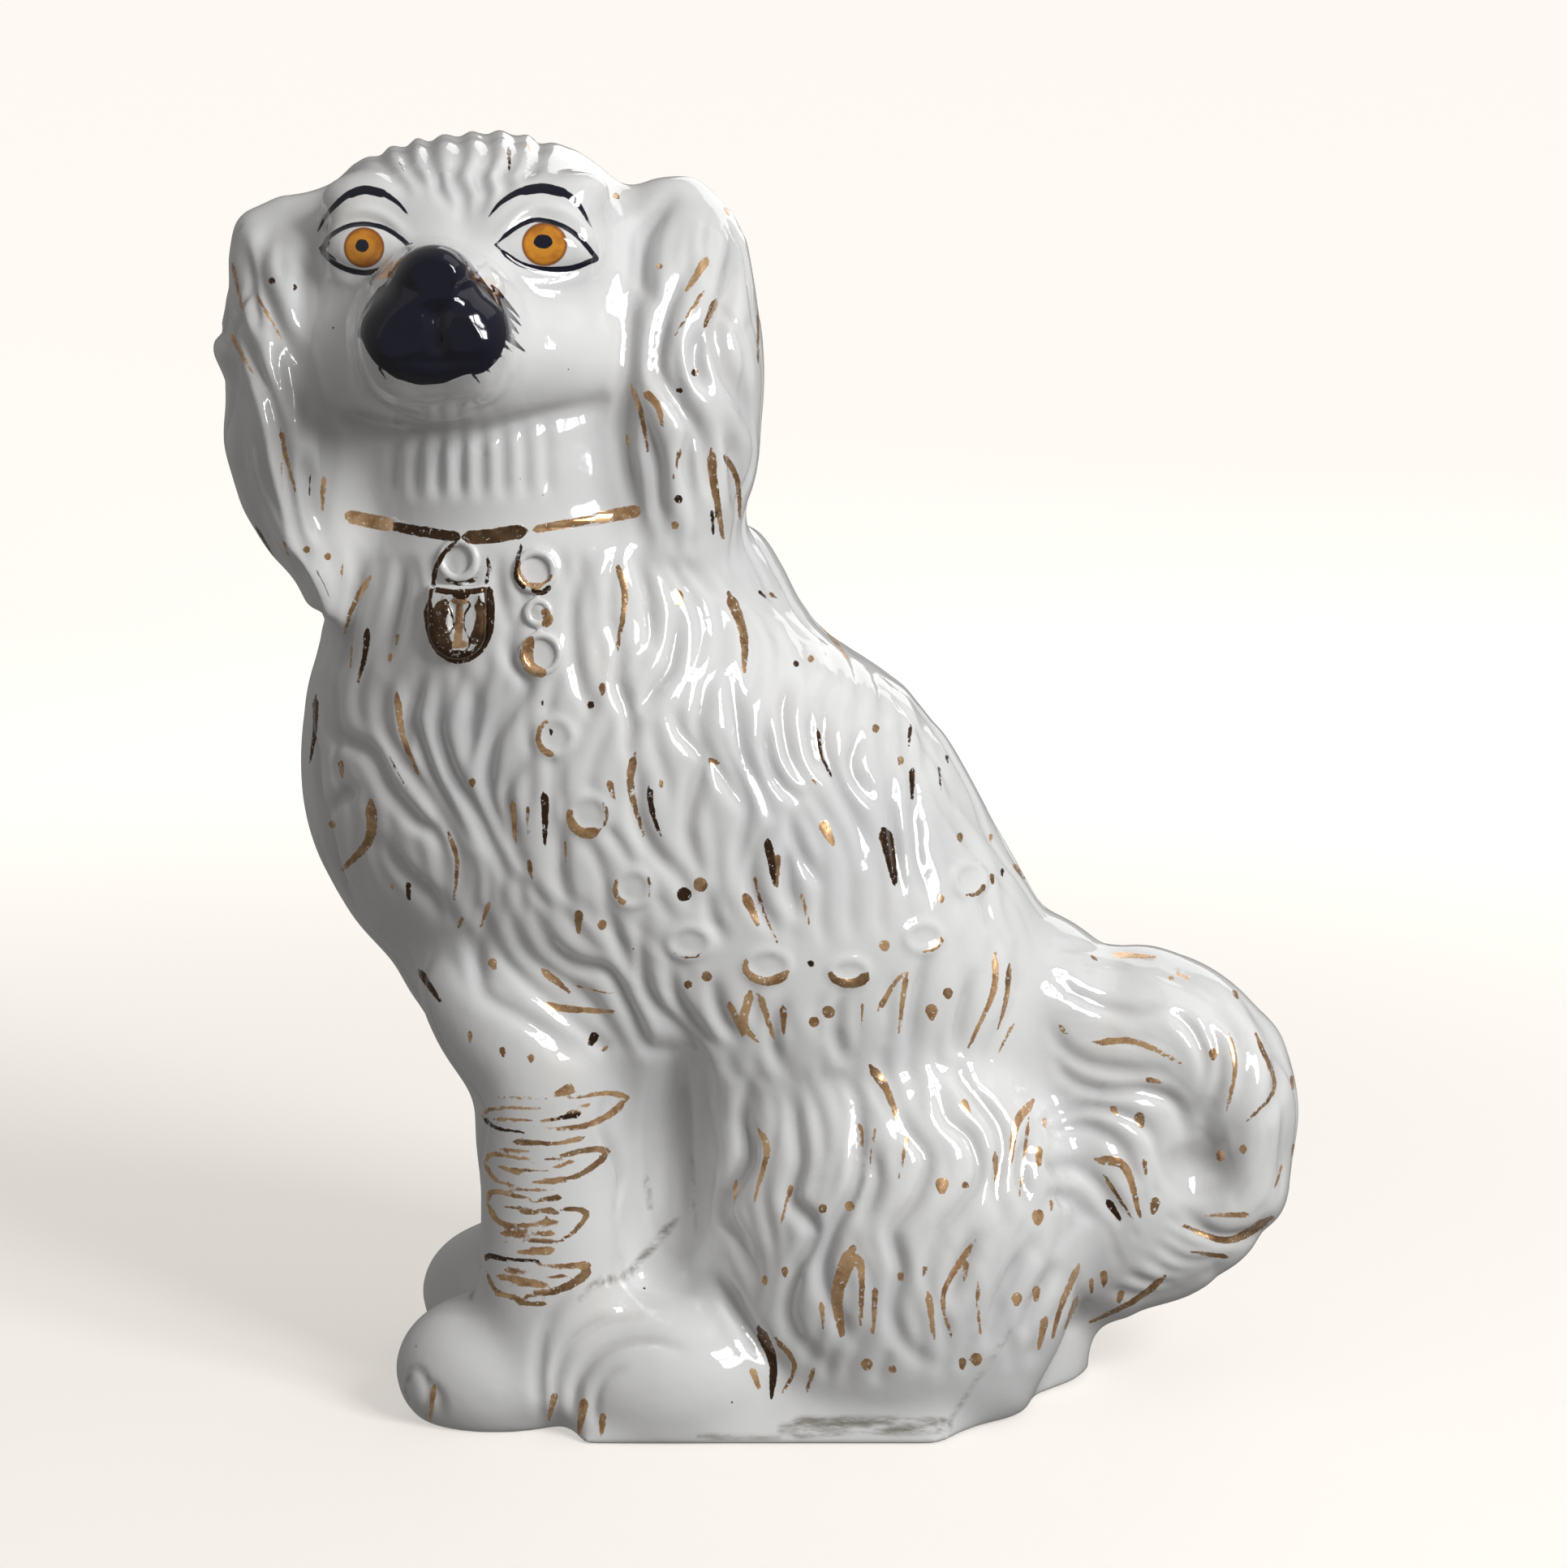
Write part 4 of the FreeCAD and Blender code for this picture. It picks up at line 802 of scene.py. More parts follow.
def nudge(mesh):
    co = coOf(mesh)
    px, py = onPhoto(co)
    total, moved = np.zeros(len(co)), np.zeros((len(co), 2))
    for x, y, right, down, reach in nudges:
        pull = np.exp(-((px - x) ** 2 + (py - y) ** 2) / reach ** 2)
        total += pull
        moved += pull[:, None] * (right, down)
    moved /= np.maximum(total, 1)[:, None]
    perPixel = (co[:, 1] - camera["place"][1] * mm) / camera["focal"]
    co[:, 0] += moved[:, 0] * perPixel
    co[:, 2] = np.maximum(co[:, 2] - moved[:, 1] * perPixel * ease(co[:, 2] * toMm, *footHold), 0)
    placeAll(mesh, co)


# combed locks on the narrow ends, which the picture doesn't show: spacing, depth and wave in mm
endFur = {"spacing": 10.5, "depth": 1.3, "narrow": 2.5, "wave": 3.0, "waveLong": 9.5, "curl": 1.7,
          "curlLong": 17.0, "ripple": 1.2, "ripples": (4.1, 9.0), "least": 0.62, "gains": (60, 5.5, 12.5),
          "turned": (0.55, 0.9), "foot": (48, 62), "top": (296, 308), "muzzle": (-42, -34), "head": 205}


def carveEnds(co, normals):
    y, z = co[:, 1] * toMm, co[:, 2] * toMm
    curled = endFur["curl"] * np.sin(y / endFur["curlLong"])
    bend = endFur["wave"] * np.sin(z / endFur["waveLong"] + curled)
    bend += endFur["ripple"] * np.sin(z / endFur["ripples"][0] + y / endFur["ripples"][1])
    valley = np.clip(np.cos(2 * math.pi * (y + bend) / endFur["spacing"]), 0, 1) ** endFur["narrow"]
    wide, deep, high = endFur["gains"]
    valley *= endFur["least"] + (1 - endFur["least"]) * np.sin(z / high + y / deep + co[:, 0] * wide)
    share = ease(np.abs(normals[:, 0]), *endFur["turned"])
    share = share * ease(z, *endFur["foot"]) * (1 - ease(z, *endFur["top"]))
    share *= np.where(z > endFur["head"], ease(y, *endFur["muzzle"]), 1.0)
    return -endFur["depth"] * valley * share


# how the relief is pressed in: weaker where the surface turns away, on the back and at the foot
pressing = {"turned": 0.3, "turn": (0.08, 0.5), "top": 0.9, "back": 0.8, "foot": (1.0, 8.0), "under": -0.85,
            "relaxFoot": (1.0, 5.0), "relax": 0.6}


def pressRelief(mesh):
    co, normals = coOf(mesh), normalsOf(mesh)
    px, py = onPhoto(co)
    turned = np.maximum(np.abs(normals[:, 1]), pressing["top"] * normals[:, 2])
    facing = pressing["turned"] + (1 - pressing["turned"]) * ease(turned, *pressing["turn"])
    back = pressing["back"] * sample(backRelief, px, py, reliefStep)
    height = np.where(co[:, 1] < 0, sample(frontRelief, px, py, reliefStep), back)
    height = height * facing + sample(pawRelief, px, py, reliefStep) + carveEnds(co, normals)
    height *= ease(co[:, 2] * toMm, *pressing["foot"]) * (normals[:, 2] > pressing["under"])
    co += normals * height[:, None] * mm
    co = np.clip(co, np.array(cadBox[0]), np.array(cadBox[1]))
    placeAll(mesh, co)
    relax(mesh, 1, keep=ease(co[:, 2] * toMm, *pressing["relaxFoot"]) * pressing["relax"])
    return height


labels = nearestNode(skin)
seatSlab(skin)
nudge(skin)
relief = pressRelief(skin)
print("relief pressed")


# paint: strokes as (x, y, x, y, ..., width) in picture pixels, thick where the brush was set down
gilding = {
    "strokes": [
        (335, 346, 336, 348, 9), (364, 352, 363, 358, 6), (315, 361, 348, 420, 5),
        (286, 323, 299, 384, 6), (283, 410, 312, 461, 7), (346, 526, 352, 560, 364, 606, 7),
        (345, 564, 352, 635, 3), (382, 578, 382, 611, 3), (399, 587, 397, 630, 8),
        (349, 667, 356, 686, 5), (378, 677, 379, 678, 10), (404, 686, 404, 688, 10),
        (422, 693, 420, 715, 5), (315, 649, 341, 693, 5), (872, 318, 846, 358, 12),
        (813, 328, 813, 330, 8), (825, 356, 811, 408, 7), (868, 358, 832, 413, 6),
        (882, 370, 868, 403, 10), (894, 257, 898, 266, 6), (934, 380, 934, 450, 4),
        (856, 459, 857, 461, 9), (837, 481, 838, 483, 9), (778, 474, 790, 510, 799, 559, 8),
        (795, 483, 810, 500, 817, 526, 12), (773, 535, 774, 552, 6), (838, 552, 830, 590, 6),
        (877, 554, 879, 590, 891, 663, 13), (891, 559, 908, 590, 912, 639, 9), (836, 615, 836, 617, 11),
        (832, 647, 832, 649, 11), (877, 630, 879, 658, 6), (929, 601, 924, 630, 5),
        (938, 545, 938, 556, 4), (627, 181, 628, 210, 6), (651, 179, 653, 186, 5),
        (490, 198, 499, 212, 3), (759, 241, 760, 243, 8), (457, 710, 436, 745, 424, 781, 9),
        (453, 774, 449, 810, 441, 842, 9), (433, 795, 432, 823, 4), (490, 781, 488, 795, 6),
        (481, 807, 480, 816, 7), (759, 691, 770, 734, 760, 804, 10), (835, 732, 837, 745, 15),
        (820, 738, 820, 741, 6), (898, 731, 916, 780, 917, 828, 15), (936, 729, 944, 737, 5),
        (950, 732, 957, 738, 5), (981, 817, 981, 821, 8), (999, 812, 999, 814, 9),
        (993, 745, 1010, 765, 1045, 812, 8), (389, 856, 388, 900, 382, 940, 8),
        (489, 853, 496, 905, 516, 956, 10), (478, 927, 503, 976, 3), (445, 824, 440, 842, 5),
        (420, 938, 422, 958, 8), (582, 963, 582, 969, 9), (457, 987, 455, 1034, 422, 1072, 16),
        (409, 1016, 409, 1018, 10), (552, 1025, 563, 1061, 559, 1112, 7), (503, 1088, 504, 1110, 8),
        (483, 1090, 484, 1096, 5), (603, 1110, 592, 1144, 7), (570, 1130, 565, 1144, 6),
        (632, 987, 635, 1039, 9), (650, 990, 652, 1040, 5), (652, 1060, 655, 1088, 7),
        (670, 976, 672, 1000, 671, 1043, 11), (697, 1036, 696, 1065, 5), (742, 846, 742, 856, 10),
        (728, 868, 728, 874, 9), (659, 824, 662, 828, 12), (668, 866, 668, 869, 7),
        (679, 901, 679, 905, 5), (751, 963, 757, 985, 9), (782, 927, 777, 970, 793, 1030, 11),
        (800, 967, 804, 1000, 815, 1032, 9), (815, 963, 815, 971, 6), (876, 938, 886, 940, 9),
        (843, 1102, 845, 1104, 18), (863, 1090, 865, 1094, 18), (918, 1103, 926, 1120, 934, 1141, 14),
        (945, 1034, 950, 1060, 954, 1088, 12), (927, 1070, 940, 1120, 958, 1161, 5),
        (987, 1101, 998, 1141, 6), (1014, 1014, 1027, 1041, 15), (1003, 960, 1005, 968, 5),
        (1007, 896, 1012, 930, 1025, 958, 6), (713, 1124, 713, 1150, 12), (742, 1139, 742, 1144, 12),
        (516, 1195, 543, 1235, 10), (607, 1186, 609, 1194, 12), (668, 1195, 704, 1224, 11),
        (704, 1213, 740, 1222, 780, 1226, 3), (668, 1237, 700, 1243, 757, 1247, 11),
        (579, 1271, 579, 1286, 7), (619, 1294, 620, 1302, 9), (654, 1303, 655, 1309, 10),
        (733, 1276, 727, 1288, 13), (747, 1290, 741, 1296, 6), (848, 1213, 850, 1217, 11),
        (871, 1203, 871, 1206, 14), (898, 1235, 916, 1277, 10), (925, 1222, 917, 1260, 934, 1284, 13),
        (936, 1226, 954, 1280, 10), (965, 1240, 966, 1273, 10), (1003, 1259, 1003, 1262, 14),
        (1021, 1247, 1022, 1249, 16), (934, 1391, 945, 1418, 929, 1481, 9), (976, 1458, 963, 1507, 7),
        (907, 1454, 905, 1481, 6), (1014, 1489, 1015, 1491, 12), (1047, 1486, 1047, 1489, 13),
        (959, 1051, 957, 1094, 8), (1089, 1023, 1096, 1050, 1103, 1089, 19), (1079, 897, 1079, 901, 10),
        (1122, 893, 1119, 924, 6), (1110, 936, 1109, 942, 9), (1124, 947, 1124, 985, 8),
        (1157, 943, 1160, 978, 4), (1167, 932, 1168, 940, 5), (1183, 1030, 1183, 1037, 9),
        (1221, 1030, 1221, 1038, 5), (1222, 1078, 1223, 1090, 7), (1235, 1072, 1235, 1080, 5),
        (1249, 1065, 1263, 1084, 6), (1160, 1106, 1160, 1112, 8), (1090, 1165, 1092, 1170, 14),
        (999, 1187, 1003, 1189, 9), (1082, 1245, 1105, 1208, 1119, 1198, 8),
        (1117, 1200, 1112, 1235, 1108, 1273, 8), (1063, 1235, 1063, 1268, 5),
        (1168, 1223, 1169, 1229, 13), (1148, 1243, 1148, 1255, 17),
        (1226, 1174, 1224, 1221, 1193, 1292, 9), (1244, 1188, 1240, 1230, 1230, 1268, 8),
        (1249, 1261, 1230, 1297, 5), (1072, 1313, 1093, 1344, 1108, 1384, 13),
        (1187, 1356, 1195, 1372, 10), (1058, 1382, 1062, 1400, 1060, 1429, 6),
        (1079, 1386, 1070, 1448, 5), (1119, 1396, 1108, 1452, 6),
        (1273, 1356, 1252, 1386, 1245, 1434, 12), (1268, 1377, 1256, 1476, 5),
        (1280, 1415, 1280, 1438, 12), (1226, 1419, 1229, 1481, 7), (1161, 1457, 1161, 1470, 18),
        (1189, 1460, 1193, 1462, 9), (1296, 1481, 1295, 1492, 6), (1279, 1498, 1279, 1508, 16),
        (1051, 1538, 1032, 1593, 1038, 1645, 22), (1059, 1545, 1062, 1580, 1060, 1635, 10),
        (1079, 1585, 1077, 1620, 1075, 1645, 9), (1012, 1605, 1015, 1638, 8),
        (935, 1636, 952, 1677, 951, 1722, 15), (955, 1648, 979, 1682, 963, 1719, 8),
        (927, 1687, 936, 1712, 10), (1003, 1685, 994, 1715, 7), (1068, 1681, 1068, 1685, 15),
        (1100, 1687, 1100, 1690, 11), (1186, 1678, 1186, 1687, 11), (1203, 1674, 1203, 1681, 15),
        (1144, 1593, 1151, 1650, 10), (1201, 1528, 1163, 1593, 1172, 1648, 9),
        (1191, 1553, 1189, 1580, 8), (1206, 1578, 1205, 1610, 1208, 1643, 6),
        (1253, 1599, 1253, 1608, 14), (1277, 1587, 1277, 1603, 12),
        (1330, 1558, 1308, 1608, 1297, 1648, 10), (1328, 1598, 1312, 1638, 8),
        (1288, 1623, 1280, 1662, 11), (1345, 1575, 1345, 1593, 7), (1360, 1567, 1361, 1585, 11),
        (1382, 1592, 1378, 1606, 10), (1437, 1572, 1397, 1603, 1342, 1630, 10),
        (1110, 1572, 1110, 1579, 10), (1140, 1563, 1139, 1574, 7), (967, 1565, 968, 1573, 9),
        (942, 1576, 943, 1582, 9), (1346, 1285, 1400, 1284, 1457, 1311, 10), (1412, 1330, 1433, 1334, 8),
        (1306, 1264, 1315, 1275, 7), (1372, 1176, 1424, 1179, 9), (1346, 1179, 1352, 1184, 5),
        (1450, 1198, 1466, 1207, 6), (1443, 1205, 1447, 1206, 6), (1521, 1222, 1525, 1231, 6),
        (1514, 1273, 1522, 1316, 1512, 1368, 8), (1495, 1297, 1495, 1306, 12),
        (1547, 1273, 1570, 1339, 1535, 1384, 7), (1591, 1325, 1594, 1344, 5), (1372, 1366, 1377, 1374, 9),
        (1404, 1377, 1407, 1388, 13), (1287, 1380, 1287, 1390, 6),
        (1348, 1429, 1386, 1438, 1405, 1500, 13), (1360, 1448, 1396, 1502, 6),
        (1410, 1429, 1412, 1448, 7), (1365, 1479, 1381, 1504, 11), (1424, 1478, 1421, 1495, 14),
        (1504, 1423, 1504, 1430, 12), (1532, 1415, 1532, 1421, 10), (1540, 1497, 1485, 1497, 8),
        (1568, 1500, 1514, 1528, 1457, 1510, 12), (1514, 1549, 1466, 1542, 7),
        (1580, 1434, 1570, 1467, 4), (1594, 1410, 1592, 1424, 5), (684, 1716, 676, 1750, 10),
        (720, 1725, 717, 1745, 713, 1767, 13), (743, 1742, 741, 1772, 10), (535, 1707, 530, 1752, 8),
        (554, 1530, 541, 1586, 7)],
    # the banding scribbled round the near foreleg
    "banding": [
        (607, 1352, 671, 1353, 701, 1349, 4), (774, 1351, 746, 1347, 701, 1353, 8),
        (774, 1352, 753, 1372, 720, 1387, 671, 1392, 10), (704, 1341, 684, 1348, 15),
        (594, 1372, 611, 1366, 667, 1365, 6), (594, 1374, 611, 1389, 659, 1398, 6),
        (609, 1379, 656, 1381, 6), (660, 1383, 712, 1374, 5), (729, 1361, 701, 1368, 6),
        (716, 1373, 680, 1379, 8), (633, 1407, 682, 1409, 9), (721, 1402, 674, 1411, 8),
        (616, 1416, 661, 1421, 6), (597, 1432, 610, 1422, 663, 1432, 7),
        (597, 1434, 610, 1453, 629, 1458, 7), (752, 1417, 723, 1417, 671, 1430, 9),
        (752, 1418, 731, 1437, 705, 1451, 663, 1458, 9), (614, 1436, 648, 1451, 6),
        (625, 1440, 667, 1443, 5), (699, 1453, 656, 1457, 9), (708, 1430, 671, 1443, 6),
        (620, 1458, 650, 1466, 690, 1464, 5), (601, 1481, 610, 1468, 663, 1481, 8),
        (601, 1483, 618, 1507, 671, 1513, 8), (725, 1492, 700, 1490, 671, 1500, 7),
        (726, 1494, 708, 1517, 686, 1532, 8), (686, 1530, 622, 1530, 5), (691, 1475, 663, 1479, 9),
        (684, 1490, 640, 1496, 8), (690, 1506, 640, 1509, 8), (620, 1486, 660, 1490, 5),
        (618, 1519, 659, 1522, 9), (682, 1519, 655, 1522, 9), (682, 1541, 637, 1543, 12),
        (599, 1553, 601, 1547, 626, 1552, 663, 1554, 8), (599, 1566, 611, 1590, 637, 1601, 671, 1609, 6),
        (727, 1557, 700, 1560, 663, 1560, 9), (727, 1558, 716, 1575, 686, 1590, 648, 1596, 13),
        (622, 1564, 656, 1566, 7), (611, 1573, 659, 1577, 9), (700, 1571, 660, 1577, 6),
        (674, 1584, 622, 1582, 8), (610, 1594, 640, 1598, 8), (673, 1606, 633, 1607, 8)],
    # the collar's line, in the lengths that are left of it: points, width and how dull
    "collar": [
        ((427, 635), (452, 641), (478, 646), 16, 0.1), ((478, 647), (520, 655), (562, 661), 12, 0.9),
        ((572, 662), (602, 661), (640, 655), 17, 0.7), ((655, 653), (690, 647), (730, 640), 10, 0.3),
        ((735, 639), (783, 630), 15, 0.2)],
    # the lock's worn rim and inner lines, and what is left on the shackle and the first rings
    "lock": [
        ((531, 726), (566, 730), (601, 726), 7, 0.85),
        ((531, 728), (528, 758), (534, 788), (548, 806), (566, 812), (585, 805), (599, 786), (604, 756),
         (602, 728), 11, 0.85),
        ((545, 735), (541, 760), (546, 786), 3, 0.6), ((590, 735), (592, 760), (588, 786), 5, 0.9),
        ((566, 742), (566, 757), (565, 775), (564, 794), 9, 0.0), ((559, 741), (572, 741), 8, 0.0),
        ((558, 794), (572, 794), 9, 0.1), ((562, 668), (547, 682), (537, 700), (534, 720), 6, 0.95),
        ((600, 684), (603, 700), (600, 716), 5, 0.95), ((547, 713), (566, 719), (588, 713), 5, 0.95),
        ((644, 666), (638, 690), (636, 712), (645, 724), 5, 0.95),
        ((655, 727), (668, 730), (676, 724), 7, 0.95), ((670, 752), (676, 762), (673, 768), 11, 0.3),
        ((655, 786), (651, 805), (655, 824), (668, 829), 12, 0.3)],
    "lockBody": [
        ((548, 742), (540, 765), (548, 795), 18, 0.75), ((590, 742), (594, 762), (586, 788), 14, 0.7),
        ((560, 733), (574, 733), 9, 0.9), ((556, 806), (578, 806), 9, 0.9)],
    "keyhole": (
        (566, 738), (553, 742), (556, 755), (559, 770), (551, 790), (560, 803), (573, 802), (579, 790),
        (572, 772), (573, 757), (579, 744), (566, 738), 2.6, 1.0),
    # crescents left on the chain's rings: ring number, from and to angle, width
    "crescents": [
        (0, 60, 200, 8), (0, 20, 60, 5), (1, 100, 230, 12), (2, 90, 250, 9), (3, 60, 190, 15),
        (3, -40, 40, 6), (4, 110, 210, 8), (4, -40, 30, 5), (5, 40, 150, 4), (6, 20, 200, 13),
        (7, 10, 170, 14), (8, 0, 90, 8), (9, 20, 100, 7)],
    # how dull a stroke is and how often, on the body and below it; below, bright strokes come more often, a
    # painted reflection of the pale floor
    "dull": (0.1, 0.45, 0.85), "often": (0.35, 0.35, 0.30), "oftenLowReflectingFloor": (0.70, 0.22, 0.08), "lowFrom": 1150,
    "crescentDull": (0.1, 0.5),
}
ink = {
    "muzzle": [
        (487, 330), (497, 314), (512, 306), (527, 304), (545, 306), (561, 313), (575, 323), (588, 337),
        (600, 352), (612, 366), (622, 383), (626, 403), (622, 424), (615, 441), (602, 455), (590, 461),
        (578, 461), (562, 466), (547, 472), (530, 474), (514, 474), (500, 470), (487, 466), (476, 458),
        (464, 449), (454, 436), (447, 420), (444, 404), (447, 388), (455, 370), (466, 357), (480, 346)],
    "brows": [
        ((391, 286), (405, 262), (427, 241), (448, 234), (471, 238), (490, 250), (504, 266), 9),
        ((602, 267), (617, 250), (641, 236), (668, 232), (693, 237), (712, 251), (729, 280), 10)],
    "lids": [
        ((394, 306), (408, 290), (428, 279), (450, 276), (474, 281), (493, 293), (505, 304), 5.6),
        ((394, 305), (408, 321), (428, 332), (452, 336), (478, 329), (496, 315), (508, 302), 6.6),
        ((405, 299), (398, 306), (402, 314), (411, 321), 7.5),
        ((610, 302), (628, 286), (646, 275), (664, 271), (690, 277), (713, 292), (735, 318), 5.8),
        ((612, 303), (628, 317), (646, 327), (672, 332), (706, 330), (735, 319), 6.8)],
    "whiskers": [
        (606, 352, 641, 392, 8), (612, 362, 630, 382, 8), (614, 374, 643, 402, 9),
        (618, 386, 640, 412, 9), (618, 396, 634, 416, 8), (616, 408, 648, 434, 11),
        (612, 418, 632, 434, 7), (606, 432, 622, 442, 5), (590, 448, 606, 460, 5),
        (582, 460, 592, 473, 5), (466, 452, 477, 469, 4)],
    "specks": [
        (666, 1587, 3), (793, 1587, 4), (668, 609, 4), (760, 243, 5), (901, 1728, 3), (513, 1659, 3),
        (780, 1169, 2.5), (592, 884, 3), (640, 590, 2), (700, 455, 2), (505, 440, 2), (834, 1003, 2.5),
        (968, 1640, 2.5), (1240, 1400, 2), (1130, 1210, 2), (410, 404, 2.5)],
}
# irises and pupils as place and half sizes, and the pupil's uneven outline in shares of them
eyes = {"iris": [(448.6, 305, 25, 25), (671, 301, 28, 27)],
        "pupil": [(446, 303, 8.6, 7.8), (669, 298, 12, 8.4)],
        "pupilShares": [(-1, 0), (-0.5, -1), (0.6, -0.9), (1, 0.2), (0.3, 1), (-0.7, 0.7)], "beyond": 3.0}
soil = [
    (546, 738, 541, 768, 549, 800, 16), (588, 738, 593, 768, 583, 800, 16), (556, 806, 578, 806, 8),
    (796, 1450, 801, 1488, 8), (836, 1500, 799, 1541, 772, 1571, 738, 1580, 716, 1600, 12),
    (790, 1560, 750, 1578, 8), (852, 1420, 858, 1520, 3), (590, 1552, 580, 1600, 8),
    (965, 1760, 1165, 1756, 30), (507, 1684, 501, 1712, 504, 1746, 5),
    (528, 1690, 532, 1716, 524, 1748, 5), (504, 1748, 522, 1750, 5), (546, 1540, 540, 1590, 12),
    (860, 1770, 960, 1772, 8), (1245, 1640, 1170, 1750, 6)]
paintFar = 9.0  # pixels beyond which a map no longer counts
# how a stroke ends: as a share of the width it starts with, or in pixels; brows are pressed wider
tips = {"gilt": 0.25, "giltLeast": 1.0, "crescent": 0.5, "soil": 0.6, "brow": 1.6, "whisker": 1.0,
        "browPress": 1.15}


def emptyPaint():
    return np.full((mapHigh + 1, mapWide + 1), paintFar, np.float32)


tarnishMap = np.zeros((mapHigh + 1, mapWide + 1), np.float32)
# the brush: steps and halo in pixels, how it tapers, and how it swells to its width where it isn't a mere dab
hair = {"spacing": 1.5, "halo": 8, "taper": 0.75, "swells": 0.12, "least": 0.45, "dab": 8}


def brush(field, points, start, stop, tarnish=None):
    # a dragged brush: round where it is set down, drawn out to a point
    line = curve(points, hair["spacing"])
    t = np.linspace(0, 1, len(line))
    radii = 0.5 * (start * (1 - t) ** hair["taper"] + stop * t)
    if len(line) > hair["dab"]:
        radii *= np.clip(t / hair["swells"], hair["least"], 1)
    for (x, y), r in zip(line, radii):
        reach = int(r + hair["halo"])
        x0, y0 = max(0, int(x) - reach), max(0, int(y) - reach)
        x1, y1 = min(field.shape[1], int(x) + reach + 2), min(field.shape[0], int(y) + reach + 2)
        gy, gx = np.mgrid[y0:y1, x0:x1]
        part, far = field[y0:y1, x0:x1], np.hypot(gx - x, gy - y) - r
        if tarnish is not None:
            tarnishMap[y0:y1, x0:x1][far < part] = tarnish
        np.minimum(part, far, out=part)


def stencil(field, outline):
    # a filled shape: the distance from its outline, less than nothing inside
    p = curve(outline + outline[:1])
    (x0, y0), (x1, y1) = p.min(axis=0).astype(int) - 10, p.max(axis=0).astype(int) + 10
    gy, gx = np.mgrid[y0:y1, x0:x1].astype(float)
    far, inside = np.full(gx.shape, 99.0), np.zeros(gx.shape, bool)
    for a, b in zip(p, np.roll(p, -1, axis=0)):
        d = b - a
        t = np.clip(((gx - a[0]) * d[0] + (gy - a[1]) * d[1]) / max(d @ d, 1e-9), 0, 1)
        far = np.minimum(far, np.hypot(gx - a[0] - t * d[0], gy - a[1] - t * d[1]))
        if abs(d[1]) > 1e-9:
            inside ^= ((a[1] > gy) != (b[1] > gy)) & (gx < d[0] * (gy - a[1]) / d[1] + a[0])
    part = field[y0:y1, x0:x1]
    np.minimum(part, np.clip(np.where(inside, -far, far), -paintFar, paintFar), out=part)


def pointsOf(stroke):
    return list(zip(stroke[0:-1:2], stroke[1:-1:2]))


giltMap, inkMap, soilMap, muzzleMap, collarMap = (emptyPaint() for _ in range(5))
for stroke in gilding["strokes"] + gilding["banding"]:
    points, width = pointsOf(stroke), stroke[-1]
    # low strokes are bright more often: a painted reflection of the pale floor, besides their wear
    often = gilding["often"] if points[0][1] < gilding["lowFrom"] else gilding["oftenLowReflectingFloor"]
    dull = rng.choice(gilding["dull"], p=often)
    brush(giltMap, points, width, tips["gilt"] * width + tips["giltLeast"], dull)
for *line, width, dull in gilding["collar"] + gilding["lockBody"] + gilding["lock"] + [gilding["keyhole"]]:
    brush(giltMap, line, width, width, dull)
for ring, start, stop, width in gilding["crescents"]:
    x, y, rx, ry = chain["rings"][ring]
    turn = np.radians(np.linspace(start, stop, 9))
    bow = [(x + rx * math.cos(a), y + ry * math.sin(a)) for a in turn]
    brush(giltMap, bow, width, width * tips["crescent"], rng.choice(gilding["crescentDull"]))
for *line, width, _ in gilding["collar"]:
    brush(collarMap, line, width, width)
stencil(muzzleMap, ink["muzzle"])
for *line, width in ink["brows"]:  # widest over the middle, drawn out both ways
    width *= tips["browPress"]
    brush(inkMap, line[2:5], width, width)
    brush(inkMap, line[3:], width, tips["brow"])
    brush(inkMap, line[3::-1], width, tips["brow"])
for *line, width in ink["lids"]:
    brush(inkMap, line, width, width)
for stroke in ink["whiskers"]:
    brush(inkMap, pointsOf(stroke), stroke[-1], tips["whisker"])
for x, y, width in ink["specks"]:
    brush(inkMap, [(x, y), (x + 1, y)], width, width)
for x, y, rx, ry in eyes["pupil"]:
    stencil(inkMap, [(x + u * rx, y + v * ry) for u, v in eyes["pupilShares"]])
for stroke in soil:
    brush(soilMap, pointsOf(stroke), stroke[-1], stroke[-1] * tips["soil"])
print("paint drawn")


# the muzzle's black goes round its end: how far back from the tip in mm, with a wavy edge round its middle,
# what it gains and how sharply it ends where the muzzle turns away, and where the eyelids stop short of it
dipped = {"back": 11.5, "wave": 1.1, "waves": 5, "middle": (-72, 236), "spread": 6.0, "turned": (0.1, 0.45),
          "sharp": 6.0, "facing": 0.28, "steep": 60, "corner": (540, 400), "clear": 30.0}
# what the brush reaches: how far a face may turn and lie behind the seam, and when another part hides it
reached = {"turned": 0.02, "behind": 0.004, "paint": 6.0, "lift": 0.004, "hidden": 0.008}
# how deep a hollow must be to take the full painted shade of the glaze
cavityDeep = 1.5  # mm


def dipMuzzle(co, facing, seen, px, py):
    patch = -sample(muzzleMap, px, py)
    turn = np.arctan2(co[:, 2] * toMm - dipped["middle"][1], co[:, 0] * toMm - dipped["middle"][0])
    reach = dipped["back"] + dipped["wave"] * np.sin(dipped["waves"] * turn) - (co[:, 1] * toMm - muzzleTip)
    gain = dipped["spread"] * (1 - ease(facing, *dipped["turned"]))
    cap = np.minimum(patch + gain, reach * dipped["sharp"])
    front = np.where(seen, np.minimum(patch, (facing - dipped["facing"]) * dipped["steep"]), -paintFar)
    return np.maximum(np.maximum(cap, front), -paintFar)


